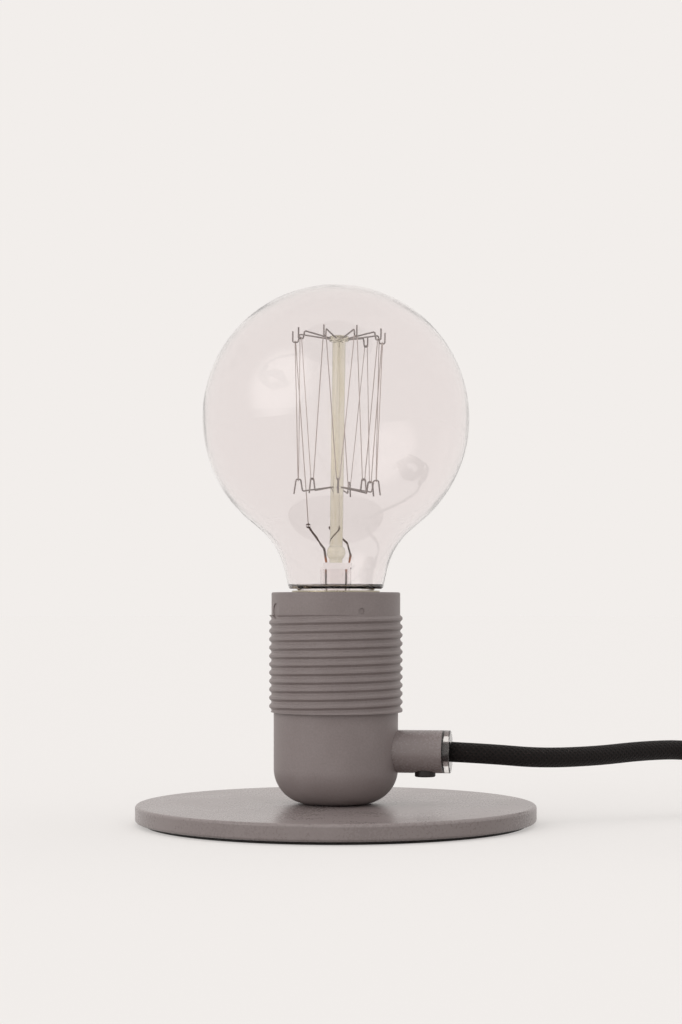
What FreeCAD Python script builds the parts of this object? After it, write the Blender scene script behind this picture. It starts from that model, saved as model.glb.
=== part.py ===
"""Bare bulb table lamp: disc base, ribbed lamp holder, globe filament bulb, textile cord.

Millimetres. The origin is on the floor under the middle of the base, +Z is up
and +X points along the cord outlet.
"""

import FreeCAD, Part
import math
import os

from FreeCAD import Vector

os.makedirs("parts", exist_ok=True)

# ---- clearances ------------------------------------------------------------------
SEAT_GAP = 0.05  # between two pieces of one body that slide together once
RUN_GAP = 0.05  # between a turning piece and its bearing
FREE_GAP = 0.3  # between bodies that pass each other

# ---- base ------------------------------------------------------------------------
PAD_DIA = 114.0
PAD_THICK = 1.0
PLATE_DIA = 120.0
PLATE_THICK = 5.0
PLATE_EDGE_R = 0.9
BOLT_DIA = 6.0
BOLT_HEAD_DIA = 10.5
BOLT_HEAD_H = 3.0
BOLT_SOCKET_AF = 4.0
BOLT_HOLE_GAP = 0.2
WASHER_DIA = 11.0
WASHER_THICK = 1.2
WASHER_SPLIT = 1.0
NUT_AF = 10.0
NUT_H = 5.0
BOLT_END = 1.2  # how far the bolt stands out of its nut

# ---- cup, the lower half of the lamp holder --------------------------------------
CUP_DIA = 37.3
CUP_WALL = 2.4
CUP_FLOOR = 3.0
CUP_CORNER_R = 10.6
CUP_H = 27.5  # plate top to sleeve's lower edge
SPIGOT_DIA = 34.0
SPIGOT_WALL = 2.0
SPIGOT_H = 8.5

# ---- sleeve, with its outside thread for a shade ring ----------------------------
THREAD_DIA = 40.0
THREAD_DEPTH = 0.65
THREAD_PITCH = 2.5
THREAD_LAND = 0.5  # flat width at the bottom of the groove
THREAD_MOUTH = 1.9  # width of the groove at the crests
SLEEVE_H = 35.8
COLLAR_H = 6.8
COLLAR_DIA = 38.6
THREAD_START_DEG = 120.0
RIM_BORE_DIA = 30.0
RIM_LIP = 3.0
RIM_EDGE_R = 0.5
DIMPLE_DIA = 1.9
DIMPLE_DEPTH = 0.35
DIMPLE_DROP = 5.6  # below the rim
DIMPLE_ANGLE = -58.5  # from +X
NOTCH_ANGLE = -149.0
NOTCH_DIA = 4.6

# ---- insert and contacts ---------------------------------------------------------
INSERT_FLOOR = 4.5
INSERT_DROP = 7.0  # how far the insert reaches down into the spigot
CHAMBER_DIA = 22.0
SHELL_DIA = 27.6
SHELL_H = 18.0
SHELL_SEAT_H = 4.5  # insert floor to the shell's lower edge
HOLDER_CREST_DIA = 24.6
HOLDER_ROOT_DIA = 26.75
HOLDER_TURNS = 2.4
LEAF_WIDTH = 5.0
LEAF_THICK = 0.5
LEAF_REACH = 8.0
BLOCK_SIZE = (6.5, 5.0, 5.5)
BLOCK_OFFSET = 7.6
SCREW_DIA = 2.6
SCREW_HEAD_DIA = 3.8
SCREW_HEAD_H = 1.4
SCREW_SLOT = 0.7
WIRE_DIA = 2.2
WIRE_HOLE_GAP = 0.15
JACKET_END_X = 9.5

# ---- bulb ------------------------------------------------------------------------
GLOBE_DIA = 80.0
GLOBE_Z = 121.3
GLASS_WALL = 0.8
CONE_DEG = 50.2  # steepest slope below the globe, from the axis
NECK_DEG = 13.0
NECK_R = 14.1
NECK_Z = 70.3
THROAT_R = 22.0
NECK_TUBE_R = 11.2
NECK_TUBE_Z = 62.0
NECK_TURN_R = 0.9
CAP_H = 27.0
CAP_TOP_Z = 69.8
CEMENT_LIP = 1.0  # how far the cement's lower edge reaches below the cap's cone
CEMENT_SINK = 0.1  # its upper edge below the turn of the globe's shoulder
CAP_CREST_DIA = 26.0
CAP_ROOT_DIA = 23.9
CAP_PITCH = 3.63
CAP_WALL = 0.5
CAP_RIDGE = (1.2, 0.35)  # half widths at the root and the crest
CAP_FLARE_H = 2.3
CAP_FLARE_DIA = 26.4
CAP_THREAD_H = 15.0
CONTACT_DIA = 9.5
CONTACT_H = 1.5
CONTACT_STEM_DIA = 3.0
CONTACT_STEM_H = 1.8
INSULATOR_H = 4.0
STEM_DIA = 9.2
STEM_WALL = 0.8
PRESS_Z = 76.3
PRESS_SIZE = (8.6, 3.4, 1.9)
PRESS_X = 0.5
ROD_DIA = 3.9
ROD_BEAD_DIA = 5.6
ROD_BEAD_Z = 81.4
ROD_TOP_Z = 144.4
BUTTON_DIA = 6.0
BUTTON_H = 1.8
HOOKS = 8
HOOK_STEP_DEG = 40.0
FIRST_HOOK_DEG = 180.0
MOUNT_LEAN_DEG = 0.8
HOOK_WIRE = 0.45
FILAMENT_WIRE = 0.22
UPPER_HOOK = [(3.02, 145.3), (12.0, 146.8), (12.5, 144.4), (14.1, 144.4), (14.1, 147.7)]
LOWER_HOOK = [(1.97, 100.8), (10.5, 99.4), (11.1, 102.9), (12.5, 102.9), (13.1, 98.5)]
HOOK_BEND_R = 0.5
LEAD_WIRE = 0.6
LEAD_BEAD_DIA = 1.4
LEAD_REACH = 8.6
LEAD_END_Z = 89.5
FILAMENT_TURN = 0.45

# ---- cord outlet -----------------------------------------------------------------
OUTLET_Z = 21.8
STUB_DIA = 12.8
STUB_BORE_DIA = 8.0
STUB_END_X = 32.3
STUB_SPIGOT_DIA = 10.0
STUB_NUT_AF = 12.0
STUB_NUT_H = 2.6
GLAND_FLANGE = 2.3
GLAND_TUBE_DIA = 7.8
GLAND_TUBE_L = 2.6
CORD_DIA = 6.0
CORD_HOLE_GAP = 0.1
GRIP_X = 26.9
GRIP_HEAD_DIA = 6.2
GRIP_HEAD_OUT = 1.1
GRIP_SEAT = 1.0  # depth of the flat for the screw head
GRIP_SHANK_DIA = 4.0
GRIP_PAD_H = 0.8
GRIP_SLOT = (1.0, 0.7)

# ---- cord ------------------------------------------------------------------------
FLOOR_GAP = 0.1
LEAD_ROUTE = [
    (34.6, 0, 21.8), (46.6, 0, 21.3), (61, 5.3, 19.8), (77, 15.4, 19.9), (91, 26.6, 20.9), (104.5, 36, 20.8),
    (116.5, 42, 18.0), (129.5, 45.3, 12.9), (142, 46, 9.5), (154, 46, 9.5),
]
LINK_ROUTE = [
    (194, 46, 9.5), (206, 46, 9.5), (217.75, 41.7, 8.9), (226.9, 32.5, 7.4), (231.1, 20.3, 5.6),
    (231.9, 4.2, 4.1), (231.9, -8, 4.0),
]
TAIL_ROUTE = [
    (228.65, -20, 10.5), (228.65, -27.8, 10.5), (226.25, -35.2, 11.7), (221.7, -41.5, 13.9),
    (215.4, -46.0, 16.6), (208.0, -48.4, 18.8), (200, -48.4, 20.2), (194, -48.4, 20.4),
]
COIL_X = 183.95
COIL_Y = -14.0
COIL_LOW_Z = 4.0
COIL_LAYER = 6.5
COIL_INNER_R = 24.2
COIL_NEAR_STEP = 4.25  # growth of the radius in the half turn beside the rise
COIL_HALF_STEP = 3.25
COIL_HALVES_IN = 7
COIL_HALVES_OUT = 6
COIL_SIDES = 10
TIE_THICK = 0.8
TIE_WIDTH = 12.0
TIE_CORNER_R = 2.5

# ---- switch on the cord ----------------------------------------------------------
SWITCH_X = 174.0
SWITCH_Y = 46.0
SWITCH_Z = 9.5  # height of the cord's axis
SWITCH_L = 52.0
SWITCH_W = 24.0
SWITCH_H = 19.0
SWITCH_NOSE_W = 13.0
SWITCH_WAIST = 17.0  # half length of the full width
SWITCH_WALL = 1.8
SWITCH_EDGE_R = 2.4
ROCKER_L = 17.0
ROCKER_W = 10.0
ROCKER_H = 7.0
ROCKER_OUT = 3.0
ROCKER_TILT_DEG = 11.0
ROCKER_SWING = 0.45  # room for the top corner of its ends, which swings out
ROCKER_PIN_DIA = 2.0
ROCKER_PIN_DROP = 2.6
CASE_SCREW_DIA = 2.6
CASE_SCREW_HEAD = 4.6
CASE_SCREW_X = 19.5

# ---- plug ------------------------------------------------------------------------
PLUG_Y = -48.4
PLUG_FRONT_X = 137.5
PLUG_REAR_X = 173.0
PLUG_LOW_Z = 13.55  # it lies on the coil
PLUG_W = 35.3
PLUG_REAR_W = 14.0
PLUG_H = 13.7
PLUG_SHOULDER = 10.0
PLUG_EDGE_R = 2.0
PLUG_PIN_DIA = 4.0
PLUG_PIN_L = 19.0
PLUG_PIN_SPACING = 18.6
PLUG_PIN_SLEEVE = 10.0
RELIEF_DIA = 10.4
RELIEF_END_DIA = 7.4
RELIEF_GROOVES = 5

# ---- places that follow from the sizes -------------------------------------------
PLATE_Z = PAD_THICK
CUP_Z = PLATE_Z + PLATE_THICK
SLEEVE_Z = CUP_Z + CUP_H
RIM_Z = SLEEVE_Z + SLEEVE_H
SPIGOT_TOP = SLEEVE_Z + SPIGOT_H
CUP_R = CUP_DIA / 2
CUP_BORE_R = CUP_R - CUP_WALL
SPIGOT_R = SPIGOT_DIA / 2
SPIGOT_BORE_R = SPIGOT_R - SPIGOT_WALL
SLEEVE_BORE_R = SPIGOT_R + SEAT_GAP
INSERT_Z = SPIGOT_TOP - INSERT_DROP
INSERT_TOP = RIM_Z - RIM_LIP
SHELL_Z = INSERT_Z + INSERT_FLOOR + SHELL_SEAT_H
CAP_Z = CAP_TOP_Z - CAP_H
CAP_SHELL_Z = CAP_Z + CONTACT_H + INSULATOR_H
CAP_THREAD_Z = CAP_SHELL_Z + 1.4
BOLT_HEAD_Z = PLATE_Z + BOLT_HEAD_H + 0.2
BORE_UP = Vector(0, 0, 1)


# ---- small helpers ---------------------------------------------------------------
def cylinder(radius, low, high, x=0.0, y=0.0):
    """A round bar standing on the level low."""
    return Part.makeCylinder(radius, high - low, Vector(x, y, low))


def tube(outer, inner, low, high):
    return cylinder(outer, low, high).cut(cylinder(inner, low - 1, high + 1))


def bar_x(radius, start, end, y=0.0, z=OUTLET_Z):
    """A round bar along +X."""
    return Part.makeCylinder(radius, end - start, Vector(start, y, z), Vector(1, 0, 0))


def block(size, centre):
    corner = Vector(*centre) - Vector(*size) * 0.5
    return Part.makeBox(*size, corner)


def hexagon(across, low, high, x=0.0, y=0.0):
    radius = across / math.sqrt(3)
    corners = [
        Vector(x + radius * math.cos(k * math.pi / 3), y + radius * math.sin(k * math.pi / 3), low)
        for k in range(7)
    ]
    return Part.Face(Part.makePolygon(corners)).extrude(Vector(0, 0, high - low))


def fuse(*solids):
    first = solids[0]
    return first.fuse(list(solids[1:])).removeSplitter()


def rounded(points, radii):
    """Straight runs joined by tangent arcs, as one wire. radii has one value per inner point."""
    edges = []
    start = points[0]
    for before, corner, after, radius in zip(points, points[1:], points[2:], radii):
        into = (before - corner).normalize()
        out = (after - corner).normalize()
        half = into.getAngle(out) / 2
        reach = radius / math.tan(half)
        bisector = (into + out).normalize()
        centre = corner + bisector * (radius / math.sin(half))
        first = corner + into * reach
        last = corner + out * reach
        middle = centre - bisector * radius
        edges.append(Part.LineSegment(start, first).toShape())
        edges.append(Part.Arc(first, middle, last).toShape())
        start = last
    edges.append(Part.LineSegment(start, points[-1]).toShape())
    return Part.Wire(edges)


def polygon_at(wire, diameter, sides):
    """A regular polygon across the start of a wire, of the same area as the round."""
    edge = wire.OrderedEdges[0]
    start = edge.valueAt(edge.FirstParameter)
    along = edge.tangentAt(edge.FirstParameter)
    if (start - wire.OrderedVertexes[0].Point).Length > 1e-6:
        start = edge.valueAt(edge.LastParameter)
        along = edge.tangentAt(edge.LastParameter) * -1
    side = along.cross(Vector(0, 0, 1))
    if side.Length < 0.1:
        side = along.cross(Vector(0, 1, 0))
    side.normalize()
    over = side.cross(along).normalize()
    share = math.sqrt(2 * math.pi / (sides * math.sin(2 * math.pi / sides)))
    radius = diameter / 2 * share
    corners = []
    for k in range(sides + 1):
        turn = 2 * math.pi * k / sides
        corners.append(start + side * (radius * math.cos(turn)) + over * (radius * math.sin(turn)))
    return Part.makePolygon(corners)


def wire_along(points, radii, diameter, sides=6):
    """A wire of the given thickness along a rounded route."""
    path = rounded(points, radii)
    return path.makePipeShell([polygon_at(path, diameter, sides)], True, False)


def helical_bar(radius, pitch, low, turns, profile, start_deg=0.0):
    """Sweeps a closed profile of (radius, height) pairs up a right-hand helix from an angle."""
    helix = Part.makeHelix(pitch, pitch * turns, radius)
    helix.translate(Vector(0, 0, low))
    corners = [Vector(r, 0, low + z) for r, z in profile]
    outline = Part.makePolygon(corners + corners[:1])
    bar = Part.Wire(helix.Edges).makePipeShell([outline], True, True)
    bar.rotate(Vector(0, 0, 0), BORE_UP, start_deg)
    return bar


def revolve(outline):
    """Turns a closed wire in the XZ plane about the axis."""
    return Part.Face(outline).revolve(Vector(0, 0, 0), BORE_UP, 360)


def profile(pairs):
    corners = [Vector(r, 0, z) for r, z in pairs]
    return Part.makePolygon(corners + corners[:1])


def save(name, shape):
    solids = shape.Solids
    if not shape.isValid() or not solids:
        raise ValueError(name + " isn't a valid solid")
    whole = solids[0] if len(solids) == 1 else Part.makeCompound(solids)
    whole.exportStep("parts/" + name + ".step")
    box = whole.BoundBox
    print(f"{name:18s} {len(solids):2d} solids {whole.Volume:10.1f} mm3  z {box.ZMin:7.2f} to {box.ZMax:7.2f}")


# ---- base ------------------------------------------------------------------------
def base_pad():
    return cylinder(PAD_DIA / 2, 0, PAD_THICK)


def base_plate():
    plate = cylinder(PLATE_DIA / 2, PLATE_Z, CUP_Z)
    rims = [e for e in plate.Edges if isinstance(e.Curve, Part.Circle)]
    plate = plate.makeFillet(PLATE_EDGE_R, rims)
    hole = cylinder(BOLT_DIA / 2 + BOLT_HOLE_GAP, PLATE_Z - 1, CUP_Z + 1)
    sink = cylinder(BOLT_HEAD_DIA / 2 + BOLT_HOLE_GAP, PLATE_Z - 1, BOLT_HEAD_Z)
    return plate.cut([hole, sink])


def base_bolt():
    washer_z = CUP_Z + CUP_FLOOR
    end = washer_z + WASHER_THICK + NUT_H + BOLT_END
    head = cylinder(BOLT_HEAD_DIA / 2, BOLT_HEAD_Z - BOLT_HEAD_H, BOLT_HEAD_Z)
    lower_edge = [e for e in head.Edges if abs(e.BoundBox.ZMax - head.BoundBox.ZMin) < 0.01]
    head = head.makeFillet(BOLT_HEAD_H / 3, lower_edge)
    shank = cylinder(BOLT_DIA / 2, BOLT_HEAD_Z, end)
    socket = hexagon(BOLT_SOCKET_AF, 0, BOLT_HEAD_Z - BOLT_HEAD_H / 3)
    return fuse(head, shank).cut(socket)


def lock_washer():
    low = CUP_Z + CUP_FLOOR
    ring = tube(WASHER_DIA / 2, BOLT_DIA / 2 + BOLT_HOLE_GAP, low, low + WASHER_THICK)
    split = block((WASHER_DIA, WASHER_SPLIT, WASHER_THICK * 2), (WASHER_DIA / 2, 0, low + WASHER_THICK / 2))
    return ring.cut(split)


def base_nut():
    low = CUP_Z + CUP_FLOOR + WASHER_THICK
    bore = cylinder(BOLT_DIA / 2 + SEAT_GAP, low - 1, low + NUT_H + 1)
    return hexagon(NUT_AF, low, low + NUT_H).cut(bore)


# ---- cup and cord outlet ---------------------------------------------------------
def cup():
    inner_corner_r = CUP_CORNER_R - CUP_WALL
    floor_z = CUP_Z + CUP_FLOOR
    outside = rounded(
        [Vector(0, 0, CUP_Z), Vector(CUP_R, 0, CUP_Z), Vector(CUP_R, 0, SLEEVE_Z)], [CUP_CORNER_R]
    )
    inside = rounded(
        [Vector(CUP_BORE_R, 0, SLEEVE_Z - 3), Vector(CUP_BORE_R, 0, floor_z), Vector(0, 0, floor_z)],
        [inner_corner_r],
    )
    steps = [
        (CUP_R, SLEEVE_Z), (SPIGOT_R, SLEEVE_Z), (SPIGOT_R, SPIGOT_TOP), (SPIGOT_BORE_R, SPIGOT_TOP),
        (SPIGOT_BORE_R, SLEEVE_Z - 1), (CUP_BORE_R, SLEEVE_Z - 3),
    ]
    shoulder = Part.makePolygon([Vector(r, 0, z) for r, z in steps])
    close = Part.LineSegment(Vector(0, 0, floor_z), Vector(0, 0, CUP_Z)).toShape()
    outline = Part.Wire(outside.Edges + shoulder.Edges + inside.Edges + [close])
    body = revolve(outline)
    bolt_hole = cylinder(BOLT_DIA / 2 + BOLT_HOLE_GAP, CUP_Z - 1, floor_z + 1)
    outlet = bar_x(STUB_SPIGOT_DIA / 2 + SEAT_GAP, 0, CUP_R + 1)
    return body.cut([bolt_hole, outlet])


def stub_nut_face():
    """Where the flat nut meets the round inside of the cup, at the nut's corners."""
    corner = STUB_NUT_AF / math.sqrt(3)
    return math.sqrt(CUP_BORE_R ** 2 - corner ** 2) - SEAT_GAP


def stub():
    barrel = bar_x(STUB_DIA / 2, 0, STUB_END_X)
    outer_rim = [e for e in barrel.Edges if e.BoundBox.XMin > STUB_END_X - 0.01]
    barrel = barrel.makeFillet(0.25, outer_rim)
    barrel = barrel.cut(cylinder(CUP_R, CUP_Z, SLEEVE_Z + 5))
    spigot = bar_x(STUB_SPIGOT_DIA / 2, stub_nut_face() - STUB_NUT_H - 0.6, CUP_R + 1)
    bore = bar_x(STUB_BORE_DIA / 2, 0, STUB_END_X + 1)
    low = OUTLET_Z - STUB_DIA / 2
    screw_hole = cylinder(GRIP_SHANK_DIA / 2 + RUN_GAP, low - 1, OUTLET_Z, x=GRIP_X)
    screw_seat = cylinder(GRIP_HEAD_DIA / 2 + FREE_GAP, low - 1, low + GRIP_SEAT, x=GRIP_X)
    return fuse(barrel, spigot).cut([bore, screw_hole, screw_seat])


def stub_nut():
    face = stub_nut_face()
    body = hexagon(STUB_NUT_AF, 0, STUB_NUT_H)
    body.rotate(Vector(0, 0, 0), Vector(0, 1, 0), 90)
    body.translate(Vector(face - STUB_NUT_H, 0, OUTLET_Z))
    return body.cut(bar_x(STUB_SPIGOT_DIA / 2 + SEAT_GAP, 0, face + 1))


def gland():
    flange = bar_x(STUB_DIA / 2, STUB_END_X, STUB_END_X + GLAND_FLANGE)
    outer_rim = [e for e in flange.Edges if e.BoundBox.XMin > STUB_END_X + GLAND_FLANGE - 0.01]
    flange = flange.makeFillet(0.4, outer_rim)
    collar = bar_x(GLAND_TUBE_DIA / 2, STUB_END_X - GLAND_TUBE_L, STUB_END_X)
    bore = bar_x(CORD_DIA / 2 + CORD_HOLE_GAP, 0, STUB_END_X + GLAND_FLANGE + 1)
    return fuse(flange, collar).cut(bore)


def grip_places():
    """Heights of the screw's head seat, the pad's two faces, from the cord down."""
    pad_top = OUTLET_Z - CORD_DIA / 2 - SEAT_GAP
    pad_low = pad_top - GRIP_PAD_H
    seat = OUTLET_Z - STUB_DIA / 2 + GRIP_SEAT
    return pad_top, pad_low, seat


def grip_pad():
    pad_top, pad_low, _ = grip_places()
    pad = cylinder(GRIP_SHANK_DIA / 2 - RUN_GAP, pad_low, pad_top, x=GRIP_X)
    return pad.cut(bar_x(CORD_DIA / 2 + SEAT_GAP, 0, STUB_END_X))


def grip_screw():
    _, pad_low, seat = grip_places()
    low = OUTLET_Z - STUB_DIA / 2 - GRIP_HEAD_OUT
    head = cylinder(GRIP_HEAD_DIA / 2, low, seat - SEAT_GAP, x=GRIP_X)
    lower_edge = [e for e in head.Edges if abs(e.BoundBox.ZMax - low) < 0.01]
    head = head.makeFillet(0.4, lower_edge)
    shank = cylinder(GRIP_SHANK_DIA / 2 - RUN_GAP, low + 0.5, pad_low - RUN_GAP, x=GRIP_X)
    width, depth = GRIP_SLOT
    slot = block((GRIP_HEAD_DIA + 2, width, depth * 2), (GRIP_X, 0, low))
    return fuse(head, shank).cut(slot)


# ---- sleeve ----------------------------------------------------------------------
def sleeve():
    thread_r = THREAD_DIA / 2
    root_r = thread_r - THREAD_DEPTH
    collar_z = RIM_Z - COLLAR_H
    ribbed = cylinder(thread_r, SLEEVE_Z, collar_z)
    spread = (THREAD_MOUTH - THREAD_LAND) / THREAD_DEPTH / 2
    over = 0.6
    wide = THREAD_LAND / 2 + spread * (THREAD_DEPTH + over)
    groove = [
        (root_r, -THREAD_LAND / 2), (thread_r + over, -wide), (thread_r + over, wide), (root_r, THREAD_LAND / 2)
    ]
    turns = (collar_z - SLEEVE_Z) / THREAD_PITCH + 1.5
    start_z = SLEEVE_Z - THREAD_PITCH
    ribbed = ribbed.cut(helical_bar(root_r, THREAD_PITCH, start_z, turns, groove, THREAD_START_DEG))
    collar = cylinder(COLLAR_DIA / 2, collar_z, RIM_Z)
    rim = [e for e in collar.Edges if abs(e.BoundBox.ZMin - RIM_Z) < 0.01]
    collar = collar.makeFillet(RIM_EDGE_R, rim)
    shell = ribbed.fuse(collar)
    bore = cylinder(SLEEVE_BORE_R, SLEEVE_Z - 1, RIM_Z - RIM_LIP)
    mouth = cylinder(RIM_BORE_DIA / 2, RIM_Z - RIM_LIP - 1, RIM_Z + 1)
    marks = []
    for angle, size in ((DIMPLE_ANGLE, DIMPLE_DIA), (NOTCH_ANGLE, NOTCH_DIA)):
        turn = math.radians(angle)
        out = Vector(math.cos(turn), math.sin(turn), 0)
        start = out * (COLLAR_DIA / 2 - DIMPLE_DEPTH) + Vector(0, 0, RIM_Z - DIMPLE_DROP)
        marks.append(Part.makeCylinder(size / 2, THREAD_DEPTH + 1, start, out))
    return shell.cut([bore, mouth] + marks)


# ---- insert and contacts ---------------------------------------------------------
def insert():
    floor_z = INSERT_Z + INSERT_FLOOR
    lower = cylinder(SPIGOT_BORE_R - SEAT_GAP, INSERT_Z, SPIGOT_TOP)
    upper = cylinder(SLEEVE_BORE_R - 2 * SEAT_GAP, SPIGOT_TOP, INSERT_TOP)
    chamber = cylinder(CHAMBER_DIA / 2, floor_z, INSERT_TOP + 1)
    well = cylinder(SHELL_DIA / 2 + SEAT_GAP, SHELL_Z, INSERT_TOP + 1)
    return fuse(lower, upper).cut([chamber, well])


def shell_contact():
    """The threaded shell: a plain outside, and a rounded helical rib inside."""
    root_r = HOLDER_ROOT_DIA / 2
    crest_r = HOLDER_CREST_DIA / 2
    wall = tube(SHELL_DIA / 2, root_r, SHELL_Z, SHELL_Z + SHELL_H)
    rib = [(root_r + 0.15, -0.95), (crest_r, -0.3), (crest_r, 0.3), (root_r + 0.15, 0.95)]
    rib_z = CAP_THREAD_Z + CAP_PITCH / 2
    thread = helical_bar(root_r, CAP_PITCH, rib_z, HOLDER_TURNS, rib)
    return fuse(wall, thread)


def centre_leaf():
    """A sprung strip on the insert's floor that rises to the bulb's foot."""
    floor_z = INSERT_Z + INSERT_FLOOR
    top = CAP_Z - 2 * RUN_GAP
    steps = [
        (-LEAF_REACH, floor_z), (-LEAF_REACH / 2, floor_z), (-1.5, top - LEAF_THICK), (3.0, top - LEAF_THICK),
        (3.0, top), (-1.8, top), (-LEAF_REACH / 2 - 0.2, floor_z + LEAF_THICK), (-LEAF_REACH, floor_z + LEAF_THICK),
    ]
    strip = Part.Face(profile(steps)).extrude(Vector(0, LEAF_WIDTH, 0))
    strip.translate(Vector(0, -LEAF_WIDTH / 2, 0))
    return strip


def terminal_blocks():
    blocks = []
    width, depth, height = BLOCK_SIZE
    for side in (-1, 1):
        x = side * BLOCK_OFFSET
        body = block(BLOCK_SIZE, (x, 0, INSERT_Z - height / 2))
        wire_hole = cylinder(WIRE_DIA / 2 + WIRE_HOLE_GAP, INSERT_Z - height - 1, INSERT_Z - 1, x=x)
        screw_hole = Part.makeCylinder(
            SCREW_DIA / 2 + SEAT_GAP, depth, Vector(x, -depth, INSERT_Z - height / 2), Vector(0, 1, 0)
        )
        blocks.append(body.cut([wire_hole, screw_hole]))
    return Part.makeCompound(blocks)


def terminal_screws():
    screws = []
    _, depth, height = BLOCK_SIZE
    z = INSERT_Z - height / 2
    face = -depth / 2
    for side in (-1, 1):
        x = side * BLOCK_OFFSET
        head = Part.makeCylinder(SCREW_HEAD_DIA / 2, SCREW_HEAD_H, Vector(x, face, z), Vector(0, -1, 0))
        shank_l = depth / 2 - WIRE_DIA / 2 - 2 * SEAT_GAP
        shank = Part.makeCylinder(SCREW_DIA / 2, shank_l, Vector(x, face, z), Vector(0, 1, 0))
        slot = block((SCREW_HEAD_DIA + 1, SCREW_SLOT, SCREW_SLOT), (x, face - SCREW_HEAD_H, z))
        screws.append(fuse(head, shank).cut(slot))
    return Part.makeCompound(screws)


def core_wires():
    """The two cores, from the end of the cord's jacket up into the terminals."""
    wires = []
    up = INSERT_Z - BLOCK_SIZE[2] + 1.5
    for side in (-1, 1):
        x = side * BLOCK_OFFSET
        y = side * (WIRE_DIA / 2 + 0.15)
        route = [
            Vector(JACKET_END_X, y, OUTLET_Z), Vector(x, y, OUTLET_Z), Vector(x, 0, up - 3.5), Vector(x, 0, up)
        ]
        wires.append(wire_along(route, [1.5, 3.0], WIRE_DIA, 8))
    return wires


# ---- bulb ------------------------------------------------------------------------
def lean(shape):
    """The mount inside the globe stands a little out of true."""
    leaning = shape.copy()
    leaning.rotate(Vector(0, 0, PRESS_Z), Vector(0, 1, 0), MOUNT_LEAN_DEG)
    return leaning


def globe_outline(inset):
    """Half of the glass's outline, from its top down to the end of the neck."""
    radius = GLOBE_DIA / 2 - inset
    slope = math.radians(CONE_DEG)
    taper = math.radians(NECK_DEG)
    top = Vector(0, 0, GLOBE_Z + radius)
    side = Vector(radius, 0, GLOBE_Z)
    leave = Vector(radius * math.cos(slope), 0, GLOBE_Z - radius * math.sin(slope))
    neck_r = NECK_R - inset
    # the cone below the globe meets the tapered neck in a corner, which the throat rounds
    run = math.tan(slope)
    rise = math.tan(taper)
    corner_z = (leave.x - neck_r - run * leave.z + rise * NECK_Z) / (rise - run)
    corner = Vector(leave.x + run * (corner_z - leave.z), 0, corner_z)
    shoulder = Vector(neck_r + rise * inset, 0, NECK_Z + inset)
    tube_r = NECK_TUBE_R - inset
    below = rounded(
        [leave, corner, shoulder, Vector(tube_r, 0, shoulder.z), Vector(tube_r, 0, NECK_TUBE_Z)],
        [THROAT_R + inset, NECK_TURN_R, NECK_TURN_R],
    )
    diagonal = radius * math.sqrt(0.5)
    upper = Part.Arc(top, Vector(diagonal, 0, GLOBE_Z + diagonal), side).toShape()
    middle = Vector(radius * math.cos(slope / 2), 0, GLOBE_Z - radius * math.sin(slope / 2))
    lower = Part.Arc(side, middle, leave).toShape()
    return [upper, lower] + below.Edges


def bulb_glass():
    outer = globe_outline(0)
    inner = globe_outline(GLASS_WALL)
    pole = Part.LineSegment(inner[0].Vertexes[0].Point, outer[0].Vertexes[0].Point).toShape()
    foot = Part.LineSegment(
        Vector(NECK_TUBE_R, 0, NECK_TUBE_Z), Vector(NECK_TUBE_R - GLASS_WALL, 0, NECK_TUBE_Z)
    ).toShape()
    outline = Part.Wire(Part.__sortEdges__(outer + [foot] + inner + [pole]))
    return revolve(outline)


def cap_steps(inset):
    """Radius and height of the cap's shell from its lower edge to its flared rim."""
    root_r = CAP_ROOT_DIA / 2 - inset
    flare_r = CAP_FLARE_DIA / 2 - inset
    flare_z = CAP_TOP_Z - CAP_FLARE_H
    return [
        (root_r, CAP_SHELL_Z), (root_r, flare_z - (flare_r - root_r)), (flare_r, flare_z), (flare_r, CAP_TOP_Z)
    ]


def bulb_cap():
    shell = revolve(profile(cap_steps(0) + cap_steps(CAP_WALL)[::-1]))
    root_r = CAP_ROOT_DIA / 2
    crest_r = CAP_CREST_DIA / 2
    wide, narrow = CAP_RIDGE
    ridge = [(root_r - 0.2, -wide), (crest_r, -narrow), (crest_r, narrow), (root_r - 0.2, wide)]
    turns = CAP_THREAD_H / CAP_PITCH
    return fuse(shell, helical_bar(root_r, CAP_PITCH, CAP_THREAD_Z, turns, ridge))


def basing_cement():
    outer = [(r, z) for r, z in cap_steps(CAP_WALL + SEAT_GAP) if z > CAP_SHELL_Z]
    inner_r = NECK_TUBE_R + SEAT_GAP
    low = outer[0][1] - CEMENT_LIP
    high = NECK_Z - NECK_TURN_R - CEMENT_SINK
    steps = [(inner_r, low), (outer[0][0], low)] + outer[:2] + [(outer[1][0], high), (inner_r, high)]
    return revolve(profile(steps))


def bulb_insulator():
    low = CAP_Z + CONTACT_H + RUN_GAP
    top_r = CAP_ROOT_DIA / 2 - CAP_WALL - SEAT_GAP
    steps = [
        (CONTACT_STEM_DIA / 2 + RUN_GAP, low), (CONTACT_DIA / 2 + 0.6, low), (CONTACT_DIA / 2 + 1.2, low + 0.8),
        (top_r, CAP_SHELL_Z), (top_r, CAP_SHELL_Z + 1.5), (CONTACT_STEM_DIA / 2 + RUN_GAP, CAP_SHELL_Z + 1.5),
    ]
    return revolve(profile(steps))


def bulb_contact():
    button = cylinder(CONTACT_DIA / 2, CAP_Z, CAP_Z + CONTACT_H)
    edge = [e for e in button.Edges if abs(e.BoundBox.ZMax - CAP_Z) < 0.01]
    button = button.makeFillet(CONTACT_H * 0.6, edge)
    top = CAP_Z + CONTACT_H
    return fuse(button, cylinder(CONTACT_STEM_DIA / 2, top - 0.5, top + CONTACT_STEM_H))


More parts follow.
